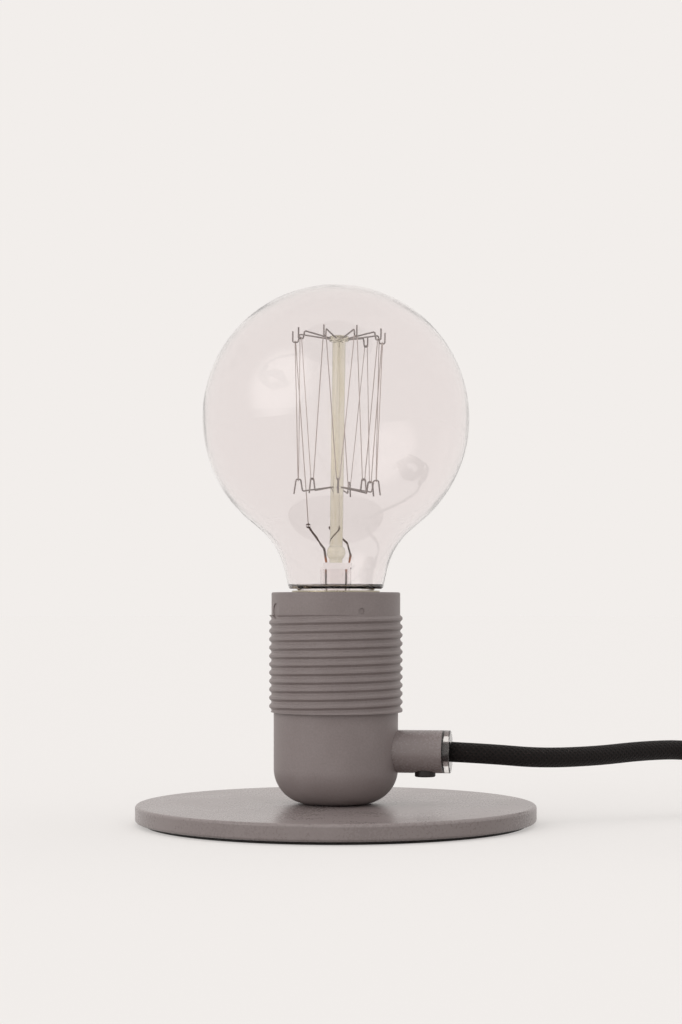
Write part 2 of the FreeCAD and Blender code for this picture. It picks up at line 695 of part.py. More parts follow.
def stem():
    """The glass flare that closes the neck, with the press that seals the leads."""
    outer = STEM_DIA / 2
    foot = NECK_TUBE_R - GLASS_WALL - SEAT_GAP
    flare_z = NECK_TUBE_Z + 1.6
    neck_z = flare_z + foot - outer
    steps = [
        (outer, PRESS_Z + 0.3), (outer, neck_z), (foot, flare_z), (foot, NECK_TUBE_Z),
        (foot - STEM_WALL, NECK_TUBE_Z), (foot - STEM_WALL, flare_z - 0.3),
        (outer - STEM_WALL, neck_z - 0.3), (outer - STEM_WALL, PRESS_Z + 0.3),
    ]
    press = block(PRESS_SIZE, (PRESS_X, 0, PRESS_Z + PRESS_SIZE[2] / 2))
    upright = [e for e in press.Edges if e.BoundBox.ZLength > PRESS_SIZE[2] * 0.9]
    press = press.makeFillet(PRESS_SIZE[1] * 0.45, upright)
    closing = cylinder(outer, PRESS_Z, PRESS_Z + 0.6)
    return fuse(revolve(profile(steps)), closing, press)


def support_rod():
    base = PRESS_Z + PRESS_SIZE[2] + SEAT_GAP
    rod = cylinder(ROD_DIA / 2, base, ROD_TOP_Z)
    bead = Part.makeSphere(ROD_BEAD_DIA / 2, Vector(0, 0, ROD_BEAD_Z))
    button = cylinder(BUTTON_DIA / 2, ROD_TOP_Z, ROD_TOP_Z + BUTTON_H)
    button = button.makeFillet(BUTTON_H * 0.3, [e for e in button.Edges if e.BoundBox.ZLength < 0.01])
    return lean(fuse(rod, bead, button))


def hook_angles(count, offset):
    return [math.radians(FIRST_HOOK_DEG + HOOK_STEP_DEG * (k + offset)) for k in range(count)]


def hooks(shape_of_one, angles):
    """The same bent wire at each angle around the rod."""
    wires = []
    for angle in angles:
        out = Vector(math.cos(angle), math.sin(angle), 0)
        route = [out * r + Vector(0, 0, z) for r, z in shape_of_one]
        bends = [HOOK_BEND_R] * (len(route) - 2)
        wires.append(wire_along(route, bends, HOOK_WIRE, 6))
    return lean(Part.makeCompound(wires))


def upper_supports():
    return hooks(UPPER_HOOK, hook_angles(HOOKS, 0))


def lower_supports():
    return hooks(LOWER_HOOK, hook_angles(HOOKS - 1, 0.5))


def lead_ends():
    """Where the two leads carry the filament: under the first and the last upper hook."""
    first = hook_angles(HOOKS, 0)[0]
    last = hook_angles(HOOKS, 0)[-1] + math.radians(10)
    return [
        Vector(LEAD_REACH * math.cos(first), LEAD_REACH * math.sin(first), LEAD_END_Z),
        Vector(LEAD_REACH * math.cos(last), LEAD_REACH * math.sin(last), LEAD_END_Z),
    ]


def filament():
    """One strand, up and down between the hooks, from lead to lead."""
    wrap = (HOOK_WIRE + FILAMENT_WIRE) / 2 + 0.04
    upper_r = (UPPER_HOOK[2][0] + UPPER_HOOK[3][0]) / 2
    upper_z = UPPER_HOOK[2][1] + wrap
    lower_r = (LOWER_HOOK[2][0] + LOWER_HOOK[3][0]) / 2
    lower_z = LOWER_HOOK[2][1] - wrap
    uppers = hook_angles(HOOKS, 0)
    lowers = hook_angles(HOOKS - 1, 0.5)
    turns = []
    for k, angle in enumerate(uppers):
        turns.append((angle, upper_r, upper_z))
        if k < len(lowers):
            turns.append((lowers[k], lower_r, lower_z))
    start, end = lead_ends()
    bead = Vector(0, 0, LEAD_BEAD_DIA / 2 + 0.02)
    route = [start + bead]
    for angle, radius, height in turns:
        out = Vector(math.cos(angle), math.sin(angle), 0)
        along = Vector(-math.sin(angle), math.cos(angle), 0)
        place = out * radius + Vector(0, 0, height)
        route += [place - along * FILAMENT_TURN, place + along * FILAMENT_TURN]
    route.append(end + bead)
    return lean(wire_along(route, [FILAMENT_TURN * 0.6] * (len(route) - 2), FILAMENT_WIRE, 4))


def lead_wires():
    """Above the press the leads spread to the filament; below it they run down to the cap."""
    press_top = PRESS_Z + PRESS_SIZE[2] + 3 * SEAT_GAP
    left, right = lead_ends()
    left_route = [Vector(-2.9, 0, press_top), Vector(-3.6, 0.2, 82.6), left]
    right_route = [Vector(4.1, 0, press_top), Vector(4.4, 0.5, 80.8), Vector(2.9, 3.2, 84.5), right]
    parts = []
    for route in (left_route, right_route):
        strand = wire_along(route, [1.5] * (len(route) - 2), LEAD_WIRE, 6)
        parts.append(lean(fuse(strand, Part.makeSphere(LEAD_BEAD_DIA / 2, route[-1]))))
    low = CAP_SHELL_Z + 2.2
    for x, foot_x in ((-3.1, -3.6), (3.1, 2.4)):
        route = [Vector(x, 0, PRESS_Z - SEAT_GAP), Vector(x, 0, PRESS_Z - 4), Vector(foot_x, 0, low)]
        parts.append(wire_along(route, [4.0], LEAD_WIRE, 6))
    return Part.makeCompound(parts)


# ---- cord ------------------------------------------------------------------------
def round_cord(name, route):
    """A tube of the cord's size along a route of straight runs and the widest arcs they allow."""
    points = [Vector(*p) for p in route]
    radii = []
    for before, corner, after in zip(points, points[1:], points[2:]):
        into = corner - before
        out = after - corner
        turn = into.getAngle(out)
        radii.append(0.45 * min(into.Length, out.Length) / math.tan(turn / 2))
    path = rounded(points, radii)
    along = points[1] - points[0]
    ring = Part.Wire(Part.Circle(points[0], along, CORD_DIA / 2).toShape())
    solid = path.makePipeShell([ring], True, False)
    expected = math.pi * CORD_DIA ** 2 / 4 * path.Length
    print(f"{name}: {path.Length:.1f} mm, radii {[round(r) for r in radii]}, volume {solid.Volume / expected:.4f}")
    return solid, path.Length


def coil_radii(halves):
    """The coil's radius at the end of each half turn, from the innermost outwards."""
    return [COIL_INNER_R] + [
        COIL_INNER_R + COIL_NEAR_STEP + COIL_HALF_STEP * k for k in range(halves)
    ]


def half_turn(start, end, away):
    """A half circle from start to end that bulges towards +Y or -Y."""
    middle = (start + end) * 0.5 + Vector(0, away * (end - start).Length / 2, 0)
    return Part.Arc(start, middle, end).toShape()


def coil_path():
    """Round the lower layer inwards, up in the innermost half turn, and out again above."""
    high_z = COIL_LOW_Z + COIL_LAYER
    side = 1
    place = Vector(COIL_X + coil_radii(COIL_HALVES_IN)[-1], COIL_Y, COIL_LOW_Z)
    edges = [Part.LineSegment(place + Vector(0, CORD_DIA, 0), place).toShape()]
    legs = [(radius, COIL_LOW_Z) for radius in coil_radii(COIL_HALVES_IN)[-2::-1]]
    legs += [(radius, high_z) for radius in coil_radii(COIL_HALVES_OUT)]
    for radius, height in legs:
        goal = Vector(COIL_X - side * radius, COIL_Y, height)
        edges.append(half_turn(place, goal, -side))
        place = goal
        side = -side
    edges.append(Part.LineSegment(place, place - Vector(0, CORD_DIA, 0)).toShape())
    return Part.Wire(edges)


def least_gap(path):
    """The smallest space between two turns, from points along the middle line."""
    points = path.discretize(Distance=4.0)
    skip = int(COIL_INNER_R / 4.0) * 2
    least = min(
        (a - b).Length for i, a in enumerate(points) for b in points[i + skip:]
    )
    return least - CORD_DIA


def cord_coil():
    path = coil_path()
    edge = path.OrderedEdges[0]
    start = edge.valueAt(edge.FirstParameter)
    corners = []
    for k in range(COIL_SIDES + 1):
        turn = 2 * math.pi * (k + 0.5) / COIL_SIDES
        corners.append(start + Vector(math.cos(turn), 0, math.sin(turn)) * (CORD_DIA / 2))
    section = Part.makePolygon(corners)
    solid = path.makePipeShell([section], True, False)
    expected = Part.Face(section).Area * path.Length
    print(
        f"coil: {path.Length:.1f} mm, least gap to itself {least_gap(path):.2f} mm, "
        f"volume {solid.Volume / expected:.4f}"
    )
    return solid, path.Length


def coil_tie():
    """A strap round all the turns, at the side of the coil nearest to the lamp."""
    reach = TIE_WIDTH / 2
    outer = coil_radii(COIL_HALVES_IN)[-2] + CORD_DIA / 2 + FREE_GAP
    inner = math.sqrt(COIL_INNER_R ** 2 - reach ** 2) - CORD_DIA / 2 - FREE_GAP
    low = COIL_LOW_Z - CORD_DIA / 2 - FLOOR_GAP
    high = COIL_LOW_Z + COIL_LAYER + CORD_DIA / 2 + FLOOR_GAP
    centre_x = COIL_X - (outer + inner) / 2
    centre = (centre_x, COIL_Y, (low + high) / 2)
    hole = block((outer - inner, TIE_WIDTH + 2, high - low), centre)
    band = block((outer - inner + 2 * TIE_THICK, TIE_WIDTH, high - low + 2 * TIE_THICK), centre)
    for_band = [e for e in band.Edges if e.BoundBox.YLength > TIE_WIDTH * 0.9]
    for_hole = [e for e in hole.Edges if e.BoundBox.YLength > TIE_WIDTH * 0.9]
    band = band.makeFillet(TIE_CORNER_R, for_band)
    return band.cut(hole.makeFillet(TIE_CORNER_R - TIE_THICK, for_hole))


def inner_cord():
    """The cord inside the outlet, from its trimmed end to just inside the gland's outer face."""
    return bar_x(CORD_DIA / 2, JACKET_END_X, STUB_END_X + GLAND_FLANGE - 3 * SEAT_GAP)


# ---- switch ----------------------------------------------------------------------
def switch_plan(inset, low, high):
    """The case's outline seen from above, as a solid between two heights."""
    end = SWITCH_L / 2 - inset
    nose = SWITCH_NOSE_W / 2 - inset
    wide = SWITCH_W / 2 - inset
    quarter = [(end, nose), (SWITCH_WAIST, wide)]
    pairs = quarter + [(-x, y) for x, y in quarter[::-1]]
    pairs += [(-x, -y) for x, y in pairs]
    corners = [Vector(SWITCH_X + x, SWITCH_Y + y, low) for x, y in pairs]
    return Part.Face(Part.makePolygon(corners + corners[:1])).extrude(Vector(0, 0, high - low))


def case_screw_places():
    return [(SWITCH_X + side * CASE_SCREW_X, SWITCH_Y + side * 6.2) for side in (-1, 1)]


def switch_case(low, high, rim):
    """One half of the case, with its outer edges rounded at the level rim."""
    outside = switch_plan(0, low, high)
    upright = [e for e in outside.Edges if e.BoundBox.ZLength > (high - low) * 0.9]
    outside = outside.makeFillet(SWITCH_EDGE_R, upright)
    edges = [e for e in outside.Edges if e.BoundBox.ZMax - e.BoundBox.ZMin < 0.01 and abs(e.BoundBox.ZMax - rim) < 0.01]
    return outside.makeFillet(SWITCH_EDGE_R - 0.6, edges)


def switch_bottom():
    case = switch_case(0, SWITCH_Z, 0)
    posts = [
        cylinder(CASE_SCREW_HEAD / 2, SWITCH_WALL - 0.5, SWITCH_Z, x=x, y=y) for x, y in case_screw_places()
    ]
    case = case.cut(switch_plan(SWITCH_WALL, SWITCH_WALL, SWITCH_Z + 1)).fuse(posts)
    bore = bar_x(CORD_DIA / 2 + CORD_HOLE_GAP, 0, SWITCH_X + SWITCH_L, y=SWITCH_Y, z=SWITCH_Z)
    holes = []
    for x, y in case_screw_places():
        holes.append(cylinder(CASE_SCREW_DIA / 2 + SEAT_GAP, -1, SWITCH_Z + 1, x=x, y=y))
        holes.append(cylinder(CASE_SCREW_HEAD / 2 - 0.3, -1, 1.6, x=x, y=y))
    return case.cut([bore] + holes).removeSplitter()


def switch_top():
    high = SWITCH_H
    case = switch_case(SWITCH_Z, high, high)
    posts = [
        cylinder(CASE_SCREW_HEAD / 2, SWITCH_Z, high - SWITCH_WALL + 0.5, x=x, y=y)
        for x, y in case_screw_places()
    ]
    case = case.cut(switch_plan(SWITCH_WALL, SWITCH_Z - 1, high - SWITCH_WALL)).fuse(posts)
    pin_z = high - ROCKER_PIN_DROP
    room = FREE_GAP + 0.1
    window = block((ROCKER_L + 2 * (room + ROCKER_SWING), ROCKER_W + 2 * room, SWITCH_WALL * 3), (SWITCH_X, SWITCH_Y, high))
    ears = []
    for side in (-1, 1):
        y = SWITCH_Y + side * (ROCKER_W / 2 + room + 0.9)
        ears.append(block((5.0, 1.8, SWITCH_WALL + 3.5), (SWITCH_X, y, high - SWITCH_WALL / 2 - 2.25)))
    case = case.cut(window).fuse(ears)
    pin_hole = Part.makeCylinder(
        ROCKER_PIN_DIA / 2, ROCKER_W + 6, Vector(SWITCH_X, SWITCH_Y - ROCKER_W / 2 - 3, pin_z), Vector(0, 1, 0)
    )
    bore = bar_x(CORD_DIA / 2 + CORD_HOLE_GAP, 0, SWITCH_X + SWITCH_L, y=SWITCH_Y, z=SWITCH_Z)
    holes = [
        cylinder(CASE_SCREW_DIA / 2, SWITCH_Z - 1, high - SWITCH_WALL - 1, x=x, y=y)
        for x, y in case_screw_places()
    ]
    return case.cut([bore, pin_hole] + holes).removeSplitter()


def switch_screws():
    screws = []
    for x, y in case_screw_places():
        head = cylinder(CASE_SCREW_HEAD / 2 - 0.4, 0.4, 1.6, x=x, y=y)
        shank = cylinder(CASE_SCREW_DIA / 2, 1.6, SWITCH_H - SWITCH_WALL - 1.5, x=x, y=y)
        slot = block((CASE_SCREW_HEAD + 1, 0.7, 1.2), (x, y, 0.4))
        screws.append(fuse(head, shank).cut(slot))
    return Part.makeCompound(screws)


def rocker():
    """A saddle-topped paddle on its pin, tipped to one side at rest."""
    pin_z = SWITCH_H - ROCKER_PIN_DROP
    top = SWITCH_H + ROCKER_OUT
    half = ROCKER_L / 2
    low = top - ROCKER_H
    dip = Part.Arc(Vector(half, 0, top), Vector(0, 0, top - 1.8), Vector(-half, 0, top)).toShape()
    sides = Part.makePolygon([
        Vector(-half, 0, top), Vector(-half + 0.4, 0, low + 2.5), Vector(-3.2, 0, low),
        Vector(3.2, 0, low), Vector(half - 0.4, 0, low + 2.5), Vector(half, 0, top),
    ])
    body = Part.Face(Part.Wire([dip] + sides.Edges)).extrude(Vector(0, ROCKER_W, 0))
    body.translate(Vector(SWITCH_X, SWITCH_Y - ROCKER_W / 2, 0))
    lower_nose = cylinder(1.2, low - 2.0, low + 0.5, x=SWITCH_X, y=SWITCH_Y)
    bore = Part.makeCylinder(
        ROCKER_PIN_DIA / 2 + RUN_GAP, ROCKER_W + 2, Vector(SWITCH_X, SWITCH_Y - ROCKER_W / 2 - 1, pin_z), Vector(0, 1, 0)
    )
    body = fuse(body, lower_nose).cut(bore)
    body.rotate(Vector(SWITCH_X, SWITCH_Y, pin_z), Vector(0, 1, 0), -ROCKER_TILT_DEG)
    return body


def rocker_pin():
    start = Vector(SWITCH_X, SWITCH_Y - ROCKER_W / 2 - 2, SWITCH_H - ROCKER_PIN_DROP)
    return Part.makeCylinder(ROCKER_PIN_DIA / 2, ROCKER_W + 4, start, Vector(0, 1, 0))


def switch_contacts():
    """A fixed contact and a sprung one, one each side of the rocker's nose."""
    pieces = []
    for side in (-1, 1):
        foot = block((6.0, 5.0, 0.6), (SWITCH_X + side * 10.0, SWITCH_Y, SWITCH_WALL + 0.3))
        post = block((0.6, 5.0, 4.0), (SWITCH_X + side * 7.3, SWITCH_Y, SWITCH_WALL + 2.0))
        pieces.append(fuse(foot, post))
    return Part.makeCompound(pieces)


# ---- plug ------------------------------------------------------------------------
def plug_body():
    pairs = [
        (PLUG_FRONT_X, PLUG_W / 2), (PLUG_FRONT_X + PLUG_SHOULDER, PLUG_W / 2), (PLUG_REAR_X, PLUG_REAR_W / 2)
    ]
    pairs += [(x, -y) for x, y in pairs[::-1]]
    corners = [Vector(x, PLUG_Y + y, PLUG_LOW_Z) for x, y in pairs]
    axis_z = PLUG_LOW_Z + PLUG_H / 2
    body = Part.Face(Part.makePolygon(corners + corners[:1])).extrude(Vector(0, 0, PLUG_H))
    upright = [e for e in body.Edges if e.BoundBox.ZLength > PLUG_H * 0.9 and e.BoundBox.XMin < PLUG_REAR_X - 1]
    body = body.makeFillet(PLUG_EDGE_R * 1.5, upright)
    long_edges = [
        e for e in body.Edges
        if e.BoundBox.ZLength < 0.01 and e.BoundBox.XMin < PLUG_REAR_X - 0.01
    ]
    body = body.makeFillet(PLUG_EDGE_R, long_edges)
    holes = [
        bar_x(PLUG_PIN_DIA / 2, PLUG_FRONT_X - 1, PLUG_FRONT_X + 8, y=PLUG_Y + side * PLUG_PIN_SPACING / 2, z=axis_z)
        for side in (-1, 1)
    ]
    return body.cut(holes)


def plug_relief():
    """The tapered boot behind the plug, with grooves so that it bends."""
    length = TAIL_ROUTE[-1][0] - PLUG_REAR_X
    axis = Vector(1, 0, 0)
    start = Vector(PLUG_REAR_X, PLUG_Y, PLUG_LOW_Z + PLUG_H / 2)
    boot = Part.makeCone(RELIEF_DIA / 2, RELIEF_END_DIA / 2, length, start, axis)
    grooves = []
    for k in range(RELIEF_GROOVES):
        place = start + axis * (length * (k + 0.8) / (RELIEF_GROOVES + 0.6))
        radius = RELIEF_DIA / 2 - (RELIEF_DIA - RELIEF_END_DIA) / 2 * (place.x - start.x) / length
        ring = Part.makeCylinder(radius + 1, 1.3, place, axis)
        grooves.append(ring.cut(Part.makeCylinder(radius - 0.7, 1.3, place, axis)))
    return boot.cut(grooves)


def plug_pins():
    pins = []
    axis_z = PLUG_LOW_Z + PLUG_H / 2
    for side in (-1, 1):
        y = PLUG_Y + side * PLUG_PIN_SPACING / 2
        tip = PLUG_FRONT_X - PLUG_PIN_L
        bare = bar_x(PLUG_PIN_DIA / 2, tip, PLUG_FRONT_X - PLUG_PIN_SLEEVE, y=y, z=axis_z)
        tip_edge = [e for e in bare.Edges if e.BoundBox.XMax < tip + 0.01]
        bare = bare.makeFillet(PLUG_PIN_DIA * 0.4, tip_edge)
        neck = bar_x(PLUG_PIN_DIA / 2 - 0.15, PLUG_FRONT_X - PLUG_PIN_SLEEVE, PLUG_FRONT_X, y=y, z=axis_z)
        root = bar_x(PLUG_PIN_DIA / 2, PLUG_FRONT_X, PLUG_FRONT_X + 8, y=y, z=axis_z)
        pins.append(fuse(bare, neck, root))
    return Part.makeCompound(pins)


# ---- the whole lamp --------------------------------------------------------------
def main():
    live, neutral = core_wires()
    lead, lead_l = round_cord("lead", LEAD_ROUTE)
    link, link_l = round_cord("link", LINK_ROUTE)
    tail, tail_l = round_cord("tail", TAIL_ROUTE)
    coil, coil_l = cord_coil()
    in_switch = LINK_ROUTE[0][0] - LEAD_ROUTE[-1][0]
    in_outlet = STUB_END_X + GLAND_FLANGE - JACKET_END_X
    in_plug = TAIL_ROUTE[-1][0] - PLUG_REAR_X
    whole = lead_l + link_l + tail_l + coil_l + in_switch + in_outlet + in_plug
    print(f"cord from end to end: {whole:.0f} mm")
    pieces = {
        "base_pad": base_pad(),
        "base_plate": base_plate(),
        "base_bolt": base_bolt(),
        "lock_washer": lock_washer(),
        "base_nut": base_nut(),
        "cup": cup(),
        "stub": stub(),
        "stub_nut": stub_nut(),
        "gland": gland(),
        "grip_pad": grip_pad(),
        "grip_screw": grip_screw(),
        "sleeve": sleeve(),
        "insert": insert(),
        "shell_contact": shell_contact(),
        "centre_leaf": centre_leaf(),
        "terminal_blocks": terminal_blocks(),
        "terminal_screws": terminal_screws(),
        "live_core": live,
        "neutral_core": neutral,
        "inner_cord": inner_cord(),
        "bulb_glass": bulb_glass(),
        "bulb_cap": bulb_cap(),
        "basing_cement": basing_cement(),
        "bulb_insulator": bulb_insulator(),
        "bulb_contact": bulb_contact(),
        "stem": stem(),
        "support_rod": support_rod(),
        "upper_supports": upper_supports(),
        "lower_supports": lower_supports(),
        "filament": filament(),
        "lead_wires": lead_wires(),
        "cord_lead": lead,
        "cord_link": link,
        "cord_coil": coil,
        "cord_tail": tail,
        "coil_tie": coil_tie(),
        "switch_bottom": switch_bottom(),
        "switch_top": switch_top(),
        "switch_screws": switch_screws(),
        "switch_contacts": switch_contacts(),
        "rocker": rocker(),
        "rocker_pin": rocker_pin(),
        "plug_body": plug_body(),
        "plug_relief": plug_relief(),
        "plug_pins": plug_pins(),
    }
    for name, shape in pieces.items():
        save(name, shape)


main()
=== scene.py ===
"""A bare bulb table lamp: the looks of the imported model, laid out as an add-on."""

import math

import bmesh
import bpy
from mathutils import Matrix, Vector


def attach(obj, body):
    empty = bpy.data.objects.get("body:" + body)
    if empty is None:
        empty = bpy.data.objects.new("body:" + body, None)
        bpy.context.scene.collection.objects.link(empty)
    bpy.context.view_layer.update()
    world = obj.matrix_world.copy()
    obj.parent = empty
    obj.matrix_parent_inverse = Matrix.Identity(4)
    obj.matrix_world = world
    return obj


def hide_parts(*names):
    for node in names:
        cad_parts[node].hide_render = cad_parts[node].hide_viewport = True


bl_info = {
    "name": "Bare bulb table lamp",
    "version": (1, 0, 0),
    "blender": (4, 5, 0),
    "location": "3D View > Sidebar > Lamp",
    "description": "Cords, finishes and stage of a table lamp with a bare globe bulb",
    "category": "Object",
}

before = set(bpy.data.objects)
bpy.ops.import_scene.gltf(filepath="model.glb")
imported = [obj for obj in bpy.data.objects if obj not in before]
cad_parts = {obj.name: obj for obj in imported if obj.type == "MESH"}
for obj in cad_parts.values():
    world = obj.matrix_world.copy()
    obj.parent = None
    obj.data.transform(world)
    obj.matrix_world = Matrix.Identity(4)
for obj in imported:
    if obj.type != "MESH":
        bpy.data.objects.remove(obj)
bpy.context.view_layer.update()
MM = 0.001

# Routes of the cord in metres: holder to switch, switch to coil, coil to plug.
LEAD_ROUTE = [
    (0.0346, 0.0, 0.0218),
    (0.0466, 0.0, 0.0213),
    (0.061, 0.0053, 0.0198),
    (0.077, 0.0154, 0.0199),
    (0.091, 0.0266, 0.0209),
    (0.1045, 0.036, 0.0208),
    (0.1165, 0.042, 0.018),
    (0.1295, 0.0453, 0.0129),
    (0.142, 0.046, 0.0095),
    (0.154, 0.046, 0.0095),
]
LINK_ROUTE = [
    (0.194, 0.046, 0.0095),
    (0.206, 0.046, 0.0095),
    (0.21775, 0.0417, 0.0089),
    (0.2269, 0.0325, 0.0074),
    (0.2311, 0.0203, 0.0056),
    (0.2319, 0.0042, 0.0041),
    (0.2319, -0.008, 0.004),
]
TAIL_ROUTE = [
    (0.22865, -0.02, 0.0105),
    (0.22865, -0.0278, 0.0105),
    (0.22625, -0.0352, 0.0117),
    (0.2217, -0.0415, 0.0139),
    (0.2154, -0.046, 0.0166),
    (0.208, -0.0484, 0.0188),
    (0.2, -0.0484, 0.0202),
    (0.194, -0.0484, 0.0204),
]
LEAD_SIDES = 24
REST_SIDES = 16

# The put-away coil, in metres: its middle, its two layers and how its radius grows.
COIL_CENTRE = (0.18395, -0.014)
COIL_HIGH = 0.0105
COIL_LOW = 0.004
COIL_INNER = 0.0242
COIL_NEAR_STEP = 0.00425  # from the innermost half turn to the next
COIL_HALF_STEP = 0.00325  # from each further half turn to the next
COIL_IN = 7  # half turns on the lower layer
COIL_OUT = 6  # half turns on the upper layer
HALF_TURN_POINTS = 8
POINT_GAP = 0.0002  # points of a path closer than this are one

SEAL_HEIGHT = 0.0778  # middle of the copper stretch of the lead wires
SEAL_REACH = 0.0022  # copper up to here from its middle
SEAL_FADE = 0.0040  # nickel from here on

LENS = 73.83
SENSOR = 36.0
SHIFT_UP = 0.0908
AIM_OFF = math.radians(0.14)
FLOOR_RADIUS = 12.0
SOFTBOX_EDGE = 0.82  # cosine from its middle where the softbox ends
SOFTBOX_FULL = 0.99  # cosine where it reaches its strength
OVERHEAD_POWER = 0.5
OVERHEAD_SPREAD = math.radians(70)
OVERHEAD_TILT = (math.radians(-12), math.radians(8), 0.0)


# ---------------------------------------------------------------- small tools


def colour(code):
    """A linear colour with alpha from an sRGB hex value, or from a linear colour."""
    if not isinstance(code, str):
        return tuple(code)[:3] + (1.0,)
    parts = [int(code[i : i + 2], 16) / 255 for i in (1, 3, 5)]
    return tuple(p / 12.92 if p <= 0.04045 else ((p + 0.055) / 1.055) ** 2.4 for p in parts) + (1.0,)


def per_mm(size):
    """The texture scale at which one feature is about this many millimetres wide."""
    return 1.0 / (size * MM)


def add(tree, kind, values=None, **options):
    """Adds one node. Values are its sockets' numbers, or the outputs linked to them."""
    node = tree.nodes.new(kind)
    for name, value in options.items():
        setattr(node, name, value)
    for name, value in (values or {}).items():
        if isinstance(value, bpy.types.NodeSocket):
            tree.links.new(value, node.inputs[name])
        else:
            node.inputs[name].default_value = value
    return node


def material(name, values):
    """A new material with one Principled shader, its tree and the shader."""
    made = bpy.data.materials.new(name)
    made.use_nodes = True
    tree = made.node_tree
    tree.nodes.clear()
    shader = add(tree, "ShaderNodeBsdfPrincipled", values)
    add(tree, "ShaderNodeOutputMaterial", {"Surface": shader.outputs["BSDF"]})
    return made, tree, shader


def mottled(name, dark, light, grain, rough, relief, values=None):
    """A finish whose colour, roughness and relief vary over grains of this many millimetres."""
    made, tree, shader = material(name, values or {})
    place = add(tree, "ShaderNodeTexCoord").outputs["Object"]
    fine = add(tree, "ShaderNodeTexNoise", {"Vector": place, "Scale": per_mm(grain), "Detail": 3.0})
    broad = add(tree, "ShaderNodeTexNoise", {"Vector": place, "Scale": per_mm(grain * 24), "Detail": 2.0})
    both = add(tree, "ShaderNodeMath", {0: fine.outputs["Fac"], 1: broad.outputs["Fac"]}, operation="ADD")
    half = add(tree, "ShaderNodeMath", {0: both.outputs[0], 1: 0.5}, operation="MULTIPLY")
    tone = add(tree, "ShaderNodeValToRGB", {"Fac": half.outputs[0]})
    tone.color_ramp.elements[0].position = 0.36
    tone.color_ramp.elements[0].color = colour(dark)
    tone.color_ramp.elements[1].position = 0.64
    tone.color_ramp.elements[1].color = colour(light)
    tree.links.new(tone.outputs["Color"], shader.inputs["Base Color"])
    gloss = add(
        tree,
        "ShaderNodeMapRange",
        {
            "Value": half.outputs[0],
            "From Min": 0.35,
            "From Max": 0.65,
            "To Min": rough[0],
            "To Max": rough[1],
        },
    )
    tree.links.new(gloss.outputs["Result"], shader.inputs["Roughness"])
    bump = add(
        tree,
        "ShaderNodeBump",
        {"Height": fine.outputs["Fac"], "Distance": relief * MM, "Strength": 1.0},
    )
    tree.links.new(bump.outputs["Normal"], shader.inputs["Normal"])
    return made


def seen_rays(tree):
    """1 for rays from the camera, a gloss or a clear part, and 0 for the rest."""
    rays = add(tree, "ShaderNodeLightPath")
    seen = add(
        tree,
        "ShaderNodeMath",
        {0: rays.outputs["Is Camera Ray"], 1: rays.outputs["Is Glossy Ray"]},
        operation="ADD",
    )
    clear = add(
        tree,
        "ShaderNodeMath",
        {0: seen.outputs[0], 1: rays.outputs["Is Transmission Ray"]},
        operation="ADD",
        use_clamp=True,
    )
    return clear.outputs[0]


def dress(finish, *nodes):
    """Gives CAD nodes a finish, in place of the one they came with."""
    for name in nodes:
        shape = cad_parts[name]
        shape.data.materials.clear()
        shape.data.materials.append(finish)


# ---------------------------------------------------------------- finishes


def powder_coated_steel(looks):
    # Polyester powder on sheet steel, sprayed dry and baked: satin, with a fine orange peel.
    return mottled("powder_coated_steel", looks.coat_dark, looks.coat, 0.7, (0.24, 0.32), 0.009)


def lacquered_bakelite(looks):
    # Phenolic moulded in a steel tool and lacquered: matte, with soft edges and faint flow marks.
    return mottled("lacquered_bakelite", looks.coat_dark, looks.coat, 0.5, (0.44, 0.54), 0.010)


def wool_felt():
    # Needled wool felt: no gloss, short fibres about half a millimetre apart.
    return mottled("needled_wool_felt", "#2B2928", "#4A4644", 0.45, (0.95, 1.0), 0.25, {"Sheen Weight": 0.4})


def zinc_plated_steel():
    # Rolled and cut steel with bright zinc: bluish, with a fine crystal mottle.
    return mottled("zinc_plated_steel", "#A9ADB2", "#C9CDD1", 0.8, (0.22, 0.36), 0.004, {"Metallic": 1.0})


def turned_brass():
    # Brass, stamped or turned and left bare: warm, a little dulled by handling.
    return mottled("bare_brass", "#B48A45", "#CFA862", 1.2, (0.22, 0.34), 0.004, {"Metallic": 1.0})


def clear_acrylic():
    # Moulded clear acrylic: glossy, with the faint ripple of the tool.
    made, tree, shader = material(
        "moulded_clear_acrylic",
        {"Base Color": colour("#F4F2F0"), "Roughness": 0.09, "IOR": 1.49, "Transmission Weight": 1.0},
    )
    place = add(tree, "ShaderNodeTexCoord").outputs["Object"]
    ripple = add(tree, "ShaderNodeTexNoise", {"Vector": place, "Scale": per_mm(1.5), "Detail": 2.0})
    bump = add(tree, "ShaderNodeBump", {"Height": ripple.outputs["Fac"], "Distance": 0.03 * MM})
    tree.links.new(bump.outputs["Normal"], shader.inputs["Normal"])
    return made


def moulded_nylon():
    # Nylon moulded black: satin, with a slight grain from the tool.
    return mottled("moulded_black_nylon", "#1C1615", "#2E2625", 0.4, (0.42, 0.55), 0.012)


def moulded_abs():
    # ABS moulded in a spark-eroded tool: even grain, low gloss.
    return mottled("moulded_black_abs", "#171514", "#262322", 0.35, (0.44, 0.56), 0.020)


def glazed_steatite():
    # Pressed and fired steatite: off-white, with fine powder grain.
    return mottled("fired_steatite", "#DAD6CC", "#ECE9E1", 0.5, (0.45, 0.6), 0.010)


def core_insulation(name, dark, light):
    # Extruded PVC over the copper: smooth and slightly glossy.
    return mottled(name, dark, light, 0.6, (0.3, 0.4), 0.004)


def woven_strap():
    # Nylon hook-and-loop strap: matte pile, ribs about a millimetre apart.
    return mottled("woven_nylon_strap", "#121111", "#242221", 0.5, (0.85, 1.0), 0.16, {"Sheen Weight": 0.3})


